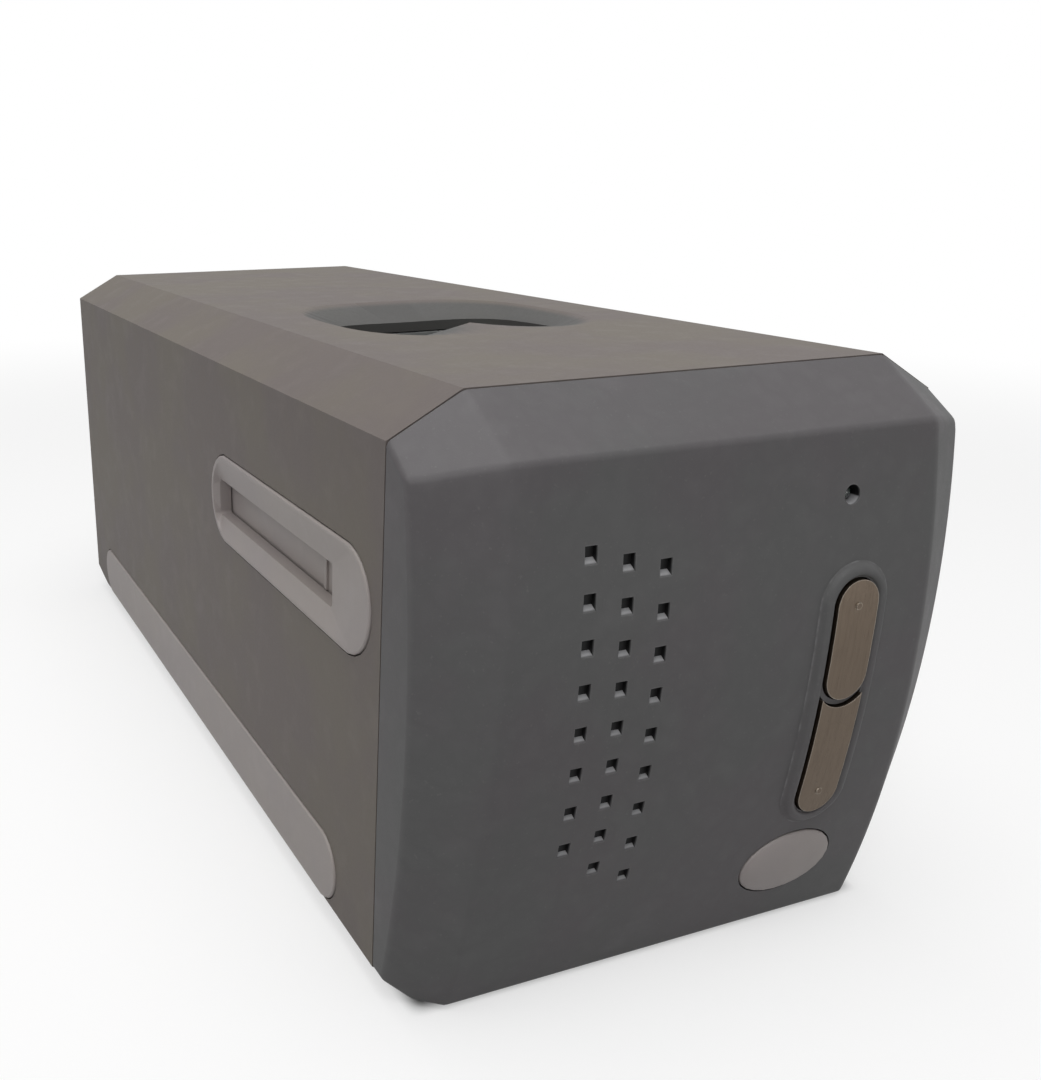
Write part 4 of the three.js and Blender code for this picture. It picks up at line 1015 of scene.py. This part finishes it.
@dataclass
class FrontBezel:
    """The bulged front in one moulding, with rounded creases, dimples and openings."""

    form: FrontForm = field(default_factory=FrontForm)
    inner_columns: int = 44
    outer_columns: int = 7
    low_rows: int = 50
    high_rows: int = 5
    outer_spread: float = 0.89
    crease: float = 0.9
    rim: float = 0.3
    wall: float = 4.0
    face_wall: float = 2.5
    lap_step: float = 2.8
    lap_end: float = -110.8
    dimple: float = 2.3
    dimple_depth: float = 1.1
    dimple_ramp: float = 0.8
    dimple_flare: float = 0.2
    columns: Sequence[tuple[float, float, float, int]] = (
        (-30.3, 92.8, 8.1, 8), (DIMPLE_MIDDLE, 90.6, 7.6, 9), (-15.1, 88.8, 7.85, 9),
    )
    light_radius: float = 1.8
    light_cone: tuple[float, float, float] = (3.1, 1.5, 1.6)
    surround_radius: float = 7.7
    power: tuple[float, float, float, float] = (27.1, 17.5, 11.6, 8.1)
    bosses: Sequence[tuple[float, float]] = ((14.0, 33.1), (14.0, 98.0), (38.0, 98.0))
    boss_radius: float = 2.6
    boss_end: float = -119.4
    cutter: float = 20.0
    cutter_middle: float = 5.0
    flange_middle: tuple[float, float, float] = (0.0, -65.8, 78.0)
    flange_length: float = 140.0
    flange_radius: float = 13.2
    flange_straight: float = 35.1

    def build(self, fitter: Fitter) -> None:
        """Builds the front and fits it in its solid's place."""
        body = self.block()
        Workshop.carve(body, [self.hollow()], "DIFFERENCE")
        posts = []
        for x, z in self.bosses:
            start = self.form.arc(z) + self.face_wall / 2
            middle = (start + self.boss_end) / 2
            length = self.boss_end - start
            posts.append(Workshop.prism((x, middle, z), self.boss_radius, length, sides=32))
        Workshop.carve(body, [Workshop.weld(posts)], "UNION")
        Workshop.carve(body, [Workshop.weld(self.openings()), self.dimples()], "DIFFERENCE")
        Workshop.smooth(body, 32)
        fitter.fit(body, "front_bezel", Finishes.front)

    def grid(self, name: str, inset: float, deeper: float) -> bpy.types.Object:
        """Lays a fine grid over the front whose lines run along its creases.

        Args:
            name: the grid's name.
            inset: how far its outline lies inside the casing's.
            deeper: how far it lies behind the face.

        Returns:
            The open grid.
        """
        across = self.inner_columns + 2 * self.outer_columns
        upward = self.low_rows + self.high_rows
        Workshop.clear_selection()
        bpy.ops.mesh.primitive_grid_add(x_subdivisions=across, y_subdivisions=upward, size=2)
        piece = bpy.context.active_object
        piece.name = piece.data.name = name
        form = self.form
        middle = (form.base + form.top) / 2
        narrower = 1 - inset / form.half
        lower = 1 - inset / (middle - form.base)
        with Workshop.editing(piece) as mesh:
            for vert in mesh.verts:
                x, z = self.spread(vert.co.x * across / 2, (vert.co.y + 1) / 2 * upward)
                x, z = x * narrower, middle + (z - middle) * lower
                vert.co = Vector((x, form.depth(x, z) + deeper, z)) * MM
            bmesh.update_edit_mesh(piece.data)
        return piece

    def spread(self, column: float, row: float) -> tuple[float, float]:
        """Places a grid point on the front.

        Args:
            column: its column, counted from the middle.
            row: its row, counted from the base.

        Returns:
            Its places across and up.
        """
        form = self.form
        low = row <= self.low_rows
        share = row / self.low_rows if low else (row - self.low_rows) / self.high_rows
        if low:
            level = form.base + (form.crest - form.base) * share
            fold = form.half - form.facet(level)
        else:
            fold = form.half - form.facet_high
            fold += (form.shoulder - fold) * share
        beyond = (abs(column) - self.inner_columns / 2) / self.outer_columns
        if beyond <= 0:
            across = fold * column / (self.inner_columns / 2)
        else:
            across = math.copysign(fold + (form.half - fold) * beyond ** self.outer_spread, column)
        out = abs(across)
        toe = max(0.0, out - form.toe) / (form.half - form.toe) * form.toe_rise
        fold_high = form.half - form.facet_high
        tilt = max(0.0, out - fold_high) / form.facet_high * (form.crest - form.crest_at_side)
        drop = max(0.0, out - form.shoulder) / (form.half - form.shoulder) * form.shoulder_drop
        bottom, ridge, summit = form.base + toe, form.crest - tilt, form.top - drop
        return across, (bottom + (ridge - bottom) * share if low
                        else ridge + (summit - ridge) * share)

    def block(self) -> bpy.types.Object:
        """Makes the front's outer form as a full block, down to the end of its lap."""
        form = self.form
        piece = self.grid("front_bezel_face", 0.0, 0.0)
        centre = (0.0, form.seam * MM, (form.base + form.top) / 2 * MM)
        narrow = 1 - self.lap_step / form.half
        with Workshop.picked(piece, Picked.EDGE, is_border):
            Workshop.extrude(scale=(1, 0, 1), centre=centre)
            Workshop.extrude(scale=(narrow, 1, narrow), centre=centre)
            Workshop.extrude(move=(0, self.lap_end - form.seam, 0))
            bpy.ops.mesh.edge_face_add()
            bpy.ops.mesh.select_all(action="SELECT")
            bpy.ops.mesh.remove_doubles(threshold=0.02 * MM)
            Workshop.face_outwards()
        with Workshop.picked(piece, Picked.EDGE, self.is_crease) as count:
            bpy.ops.mesh.bevel(offset=self.crease * MM, segments=3, profile=0.5, affect="EDGES")
        with Workshop.picked(piece, Picked.EDGE, self.is_rim):
            bpy.ops.mesh.bevel(offset=self.rim * MM, segments=2, profile=0.5, affect="EDGES")
        log.info("%s: %d creases rounded", piece.name, count)
        return piece

    @staticmethod
    def is_fold(edge: bmesh.types.BMEdge, angle: float) -> bool:
        """Says whether an edge is an outward fold of at least an angle in degrees."""
        if len(edge.link_faces) != 2 or not edge.is_convex:
            return False
        return edge.calc_face_angle(0.0) >= math.radians(angle)

    def is_crease(self, edge: bmesh.types.BMEdge) -> bool:
        """Says whether an edge is a crease of the face, ahead of the seam."""
        ahead = (self.form.seam - 0.1) * MM
        return self.is_fold(edge, 6) and min(vert.co.y for vert in edge.verts) < ahead

    def is_rim(self, edge: bmesh.types.BMEdge) -> bool:
        """Says whether an edge is the outer rim at the seam."""
        near = all(abs(vert.co.y / MM - self.form.seam) < 0.01 for vert in edge.verts)
        return near and self.is_fold(edge, 20)

    def hollow(self) -> bpy.types.Object:
        """Makes the room behind the face."""
        piece = self.grid("front_hollow", self.wall, self.face_wall)
        centre = (0.0, (self.lap_end + 1) * MM, 0.0)
        with Workshop.picked(piece, Picked.EDGE, is_border):
            Workshop.extrude(scale=(1, 0, 1), centre=centre)
            bpy.ops.mesh.edge_face_add()
            Workshop.face_outwards()
        return piece

    def openings(self) -> list[bpy.types.Object]:
        """Makes what the openings take out: surround, power button, light and slot flanges."""
        middle = self.form.front + self.cutter_middle
        x, z = BUTTONS_PLACE
        tools = [Workshop.prism(
            (x, middle, z), self.surround_radius, self.cutter, BUTTONS_STRAIGHT,
        )]
        x, z, wide, high = self.power
        tools.append(Workshop.prism((x, middle, z), wide, self.cutter, squash=high / wide))
        x, z = LIGHT_PLACE
        tools.append(Workshop.prism((x, middle, z), self.light_radius, self.cutter, sides=32))
        wide, narrow, deep = (value * MM for value in self.light_cone)
        Workshop.clear_selection()
        bpy.ops.mesh.primitive_cone_add(
            vertices=48, radius1=wide, radius2=narrow, depth=deep,
            rotation=(-math.pi / 2, 0, 0), location=(x * MM, self.form.arc(z) * MM, z * MM),
        )
        tools.append(bpy.context.active_object)
        Workshop.apply_place(tools[-1])
        tools.append(Workshop.prism(
            self.flange_middle, self.flange_radius, self.flange_length, self.flange_straight,
            Axis.ACROSS,
        ))
        return tools

    def dimples(self) -> bpy.types.Object:
        """Makes what the dimples take out: square pits whose lower side is a ramp."""
        half = self.dimple / 2
        Workshop.clear_selection()
        bpy.ops.mesh.primitive_cube_add(size=1)
        pit = bpy.context.active_object
        pit.scale = (self.dimple * MM, (self.dimple_depth + 1) * MM, self.dimple * MM)
        pit.location = (0, (self.dimple_depth - 1) / 2 * MM, 0)
        Workshop.apply_place(pit)
        ramp = self.dimple_ramp * (self.dimple_depth + 1) / self.dimple_depth
        with Workshop.picked(pit, Picked.VERT, lambda vert: vert.co.y < 0 and vert.co.z < 0):
            bpy.ops.transform.translate(value=(0, 0, -ramp * MM))
        with Workshop.picked(pit, Picked.VERT, lambda vert: vert.co.y < 0):
            wider = (half + self.dimple_flare) / half
            bpy.ops.transform.resize(value=(wider, 1, 1), center_override=(0, 0, 0))
        pits = []
        for x, top, pitch, count in self.columns:
            for row in range(count):
                z = top - row * pitch
                pits.append(Workshop.copy(pit, Vector((x, self.form.arc(z), z)) * MM))
        bpy.data.objects.remove(pit)
        return Workshop.weld(pits)


@dataclass
class ScanSurround:
    """The raised ring of the scan buttons, swelling out of the face without a step."""

    form: FrontForm = field(default_factory=FrontForm)
    back: float = 6.0
    profile: Sequence[tuple[float, float]] = (
        (7.4, 0.0), (8.1, 0.0), (8.1, 0.04), (7.9, 0.12), (7.6, 0.36), (7.35, 0.7), (7.05, 0.98),
        (6.7, 1.16), (6.35, 1.24), (6.0, 1.22), (5.7, 1.08), (5.45, 0.84), (5.25, 0.55),
        (5.0, 0.5), (4.0, 0.5), (3.0, 0.5), (2.0, 0.5), (1.0, 0.5),
    )
    button: float = 5.1
    bowl: float = 6.1
    edge: float = 0.12
    upper: tuple[float, float] = (61.6, 76.0)
    lower: tuple[float, float] = (35.9, 61.6)
    cutter: float = 16.0
    level_step: float = 1.5

    def build(self, fitter: Fitter) -> None:
        """Builds the ring and fits it in its solid's place."""
        body = self.swelling()
        x, depth = BUTTONS_PLACE[0], self.form.front + self.back / 2
        upper, lower = (
            Workshop.prism(
                (x, depth, (low + high) / 2), self.button, self.cutter, (high - low) / 2,
            )
            for low, high in (self.upper, self.lower)
        )
        bowl = Workshop.prism((x, depth, self.lower[1]), self.bowl, self.cutter + 4)
        Workshop.carve(lower, [bowl], "DIFFERENCE")
        Workshop.carve(body, [upper, lower], "DIFFERENCE")
        Workshop.bevel_all(body, self.edge, 2, 50)
        Workshop.smooth(body, 40)
        fitter.fit(body, "button_surround", Finishes.front)

    def swelling(self) -> bpy.types.Object:
        """Makes the full swelling, closed behind, that follows the bulge of the face."""
        Workshop.clear_selection()
        first = self.profile[0][0]
        bpy.ops.mesh.primitive_circle_add(
            vertices=96, radius=first * MM, rotation=(math.pi / 2, 0, 0),
        )
        piece = bpy.context.active_object
        piece.name = piece.data.name = "scan_surround"
        Workshop.apply_place(piece)
        with Workshop.editing(piece):
            bpy.ops.mesh.select_all(action="SELECT")
            for (before, proud), (after, next_proud) in zip(self.profile, self.profile[1:]):
                share = after / before
                Workshop.extrude(scale=(share, 1, share), move=(0, proud - next_proud, 0))
            bpy.ops.mesh.edge_face_add()
        with Workshop.picked(piece, Picked.EDGE, is_border):
            Workshop.extrude(move=(0, self.back, 0))
            bpy.ops.mesh.edge_face_add()
        Workshop.stretch(piece, Axis.UP.value, BUTTONS_STRAIGHT)
        x, z = BUTTONS_PLACE
        piece.location = (x * MM, 0, z * MM)
        Workshop.apply_place(piece)
        with Workshop.editing(piece):
            level = z - BUTTONS_STRAIGHT
            while level <= z + BUTTONS_STRAIGHT:
                bpy.ops.mesh.select_all(action="SELECT")
                bpy.ops.mesh.bisect(plane_co=(0, 0, level * MM), plane_no=(0, 0, 1))
                level += self.level_step
        with Workshop.editing(piece) as mesh:
            for vert in mesh.verts:
                flat = vert.co.y > self.back / 2 * MM
                bend = self.form.front if flat else self.form.arc(vert.co.z / MM)
                vert.co.y += bend * MM
            Workshop.face_outwards()
            bmesh.update_edit_mesh(piece.data)
        return piece


# Sub-assemblies


class Assembly:
    """A sub-assembly: solids whose edges are rounded, and solids that are only dressed."""

    rounded: Sequence[Softened] = ()
    dressed: Sequence[tuple[str, Finish]] = ()

    def build(self, fitter: Fitter) -> None:
        """Builds the sub-assembly's pieces."""
        for part in self.rounded:
            part.build(fitter)
        for node, finish in self.dressed:
            paint(frame["nodes"][node], finish)
            log.info("%s is dressed in %s", node, finish.name)


class Casing(Assembly):
    """The moulded casing: shell, bulged front, base, rear panel, well, strips and feet."""

    rounded = (
        Softened("main_shell", Finishes.shell, crease=1.0, edge=0.18),
        Softened("handle_cup", Finishes.well, edge=0.4, smooth=50),
        Softened("base_plate", Finishes.base, edge=0.15),
        Softened("rear_panel", Finishes.base, edge=0.15),
        *(Softened(f"skid_strip_{side}", Finishes.trim, edge=0.0, smooth=40) for side in SIDES),
        *(Softened(f"foot_{count}", Finishes.rubber, edge=0.3) for count in range(1, 5)),
    )

    def build(self, fitter: Fitter) -> None:
        """Builds the casing with its finer front."""
        super().build(fitter)
        FrontBezel().build(fitter)


class FilmPath(Assembly):
    """The slots on both sides: dished bezels, flaps, pins, springs and the tunnel."""

    rounded = (
        *(part for side in SIDES for part in (
            Softened(f"slot_bezel_{side}", Finishes.trim, edge=0.15, smooth=40),
            Softened(f"dust_flap_{side}", Finishes.trim, edge=0.15),
        )),
        Softened("film_tunnel", Finishes.frame),
    )
    dressed = tuple(
        (f"{part}_{side}", Finishes.steel) for side in SIDES
        for part in ("hinge_pin", "flap_spring")
    )


class Controls(Assembly):
    """The front controls with their surround, board and switches."""

    rounded = (
        *(part for which in ("upper", "lower") for part in (
            Softened(
                f"{which}_scan_button", Finishes.buttons, edge=0.55, segments=4, angle=50,
                smooth=45,
            ),
            Softened(f"{which}_scan_switch", Finishes.chip, edge=0.15),
        )),
        Softened("power_button", Finishes.trim, edge=0.8, segments=4, smooth=50),
        Softened("power_switch", Finishes.chip, edge=0.15),
        Softened("button_board", Finishes.board, edge=0.15),
    )
    dressed = (("status_light", Finishes.clear),)

    def build(self, fitter: Fitter) -> None:
        """Builds the finer surround, then the rest."""
        ScanSurround().build(fitter)
        super().build(fitter)


class Drive(Assembly):
    """The chassis with its rods, screw and motor."""

    rounded = (
        Softened("chassis", Finishes.frame, edge=0.3),
        *(Softened(f"guide_rod_{side}", Finishes.steel, edge=0.3) for side in SIDES),
        Softened("lead_screw", Finishes.thread, edge=0.3),
        Softened("stepper_motor", Finishes.alloy, edge=0.5),
    )


class Carriage(Assembly):
    """The scan carriage with its lamp, mirror, lens and sensor."""

    rounded = (
        Softened("scan_carriage", Finishes.frame, edge=0.3),
        Softened("lens_barrel", Finishes.frame, edge=0.4),
        Softened("image_sensor", Finishes.chip, edge=0.2),
        Softened("sensor_board", Finishes.board, edge=0.15),
        Softened("lamp_tube", Finishes.lamp, edge=0.3, smooth=40),
        Softened("lamp_diffuser", Finishes.lamp, edge=0.15),
        Softened("fold_mirror", Finishes.mirror, edge=0.2),
        Softened("front_lens", Finishes.clear, edge=0.0, smooth=40),
    )


class Electronics(Assembly):
    """The main board and its two sockets."""

    rounded = (
        Softened("main_board", Finishes.board, edge=0.15),
        Softened("data_socket", Finishes.steel, edge=0.2),
        Softened("power_socket", Finishes.chip, edge=0.2),
    )


# The studio


@dataclass(frozen=True)
class Eye:
    """The camera: where it stands, where it looks, and its lens, as the photograph was taken."""

    place: tuple[float, float, float] = (-138.27, -273.83, 150.61)
    yaw: float = 20.51
    pitch: float = -20.88
    roll: float = -0.62
    focal: float = 1096.33
    axis: tuple[float, float] = (275.66, 596.07)

    def build(self) -> None:
        """Makes the scene's camera."""
        data = bpy.data.cameras.new("eye")
        data.sensor_fit = "VERTICAL"
        data.sensor_height = SENSOR_HEIGHT
        data.lens = self.focal / IMAGE_HEIGHT * SENSOR_HEIGHT
        data.shift_x = (IMAGE_WIDTH / 2 - self.axis[0]) / IMAGE_HEIGHT
        data.shift_y = (self.axis[1] - IMAGE_HEIGHT / 2) / IMAGE_HEIGHT
        data.clip_start, data.clip_end = 0.01, 50
        yaw, pitch, roll = map(math.radians, (self.yaw, self.pitch, self.roll))
        ahead = Vector((
            math.sin(yaw) * math.cos(pitch), math.cos(yaw) * math.cos(pitch), math.sin(pitch),
        ))
        level = Vector((math.cos(yaw), -math.sin(yaw), 0))
        upright = level.cross(ahead)
        right = math.cos(roll) * level + math.sin(roll) * upright
        up = math.cos(roll) * upright - math.sin(roll) * level
        turn = Matrix((right, up, -ahead)).transposed().to_4x4()
        camera = put_in_scene("eye", data)
        camera.matrix_world = Matrix.Translation(Vector(self.place) * MM) @ turn
        bpy.context.scene.camera = camera


@dataclass(frozen=True)
class Lamp:
    """A soft rectangular studio lamp."""

    name: str
    place: tuple[float, float, float]
    size: tuple[float, float]
    power: float
    target: tuple[float, float, float] = (0.0, 0.0, 0.06)

    def build(self) -> None:
        """Hangs the lamp and turns it to its target."""
        data = bpy.data.lights.new(self.name, "AREA")
        data.shape = "RECTANGLE"
        data.size, data.size_y = self.size
        data.energy = self.power
        lamp = put_in_scene(self.name, data)
        lamp.visible_camera = False
        lamp.location = self.place
        aim = Vector(self.target) - Vector(self.place)
        lamp.rotation_euler = aim.to_track_quat("-Z", "Y").to_euler()


@dataclass
class Studio:
    """Plain pale floor, soft lamps and an even white surround."""

    floor_half: float = 12.0
    floor_grey: float = 0.4
    floor_glow: float = 0.62
    ambient: float = 0.12
    gloss: float = 0.5
    white_from: tuple[float, float] = (330.0, 900.0)
    shadow_footprint: tuple[float, float] = (57.0, 127.0)
    shadow_footprint_blur: float = 5.0
    lamps: Sequence[Lamp] = (
        Lamp("top_lamp", (-0.1, -0.1, 1.3), (1.2, 1.2), 14.0),
        Lamp("front_lamp", (-0.75, -0.8, 1.0), (0.35, 0.35), 2.6, (0.0, -0.1, 0.08)),
        Lamp("front_card", (0.05, -0.5, 0.02), (0.6, 0.06), 0.22, (0.0, -0.13, 0.02)),
        Lamp("side_card", (-0.42, 0.0, 0.02), (0.5, 0.06), 0.22, (-0.06, 0.0, 0.02)),
    )

    def build(self) -> None:
        """Builds the floor, the lamps and the world."""
        self.lay_floor()
        for lamp in self.lamps:
            lamp.build()
        self.light_world()
        bpy.context.scene.view_settings.view_transform = "Standard"

    def lay_floor(self) -> None:
        """Lays a pale floor that shows white and keeps the machine's shadow."""
        Workshop.clear_selection()
        bpy.ops.mesh.primitive_plane_add(size=2 * self.floor_half, location=(0, 0, 0))
        floor = bpy.context.active_object
        floor.name = "floor"
        bench = Bench("floor_paint")
        seen = self.seen_rays(bench)
        grey = (self.floor_grey,) * 3
        bench.finish(Base_Color=grey, Roughness=0.9, Specular_IOR_Level=0.0)
        paint_only = Signal(bench, bench.shader.outputs[0])
        glow, white = (
            bench.make("ShaderNodeEmission", None, {"Color": (1.0, 1.0, 1.0), "Strength": power})
            for power in (self.floor_glow, 1.0)
        )
        lit = bench.make("ShaderNodeAddShader", None, {0: paint_only, 1: glow})
        reach = bench.make(
            "ShaderNodeVectorMath", {"operation": "LENGTH"}, {0: bench.place()}, output=1,
        )
        far = (reach / MM).rise(*self.white_from)
        # Under the machine the floor's glow is left out, so the floor there shows its own shade: a
        # contact shadow whose reach this footprint sets.
        half_x, half_y = self.shadow_footprint
        under = (half_x - bench.along(Axis.ACROSS).size()).rise(0, self.shadow_footprint_blur)
        under = under * (half_y - bench.along(Axis.ALONG).size()).rise(0, self.shadow_footprint_blur)
        shown = self.mix(bench, far, lit, white)
        shown = self.mix(bench, under, shown, paint_only)
        shown = self.mix(bench, seen, paint_only, shown)
        bench.feed(bench.output.inputs["Surface"], shown)
        floor.data.materials.append(bench.material)

    @staticmethod
    def mix(bench: Bench, share: Signal, first: Signal, second: Signal) -> Signal:
        """Mixes two shaders by the share of the second one."""
        return bench.make("ShaderNodeMixShader", None, {0: share, 1: first, 2: second})

    def seen_rays(self, nodes: Nodes) -> Signal:
        """Gives how much of the white surround the camera, a gloss or a clear piece shows."""
        path = nodes.tree.nodes.new("ShaderNodeLightPath")
        camera, clear, gloss = (
            Signal(nodes, path.outputs[f"Is {kind} Ray"])
            for kind in ("Camera", "Transmission", "Glossy")
        )
        return camera.most(clear).most(gloss * self.gloss)

    def light_world(self) -> None:
        """Lights from all round, and shows white where the surround is seen."""
        world = bpy.data.worlds.new("surround")
        bpy.context.scene.world = world
        world.use_nodes = True
        nodes = Nodes(world.node_tree)
        back = nodes.tree.nodes["Background"]
        back.inputs["Color"].default_value = (1, 1, 1, 1)
        strength = nodes.make(
            "ShaderNodeMapRange", None,
            {"Value": self.seen_rays(nodes), "To Min": self.ambient, "To Max": 1.0},
        )
        nodes.feed(back.inputs["Strength"], strength)


def main() -> None:
    """Builds the studio and every sub-assembly."""
    logging.basicConfig(level=logging.INFO, format="%(name)s: %(message)s")
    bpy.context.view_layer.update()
    Eye().build()
    Studio().build()
    fitter = Fitter()
    for assembly in (Casing(), FilmPath(), Controls(), Drive(), Carriage(), Electronics()):
        assembly.build(fitter)
        log.info("%s is built, %d pieces so far", type(assembly).__name__, fitter.count)
    Workshop.clear_selection()


if __name__ == "__main__":
    main()
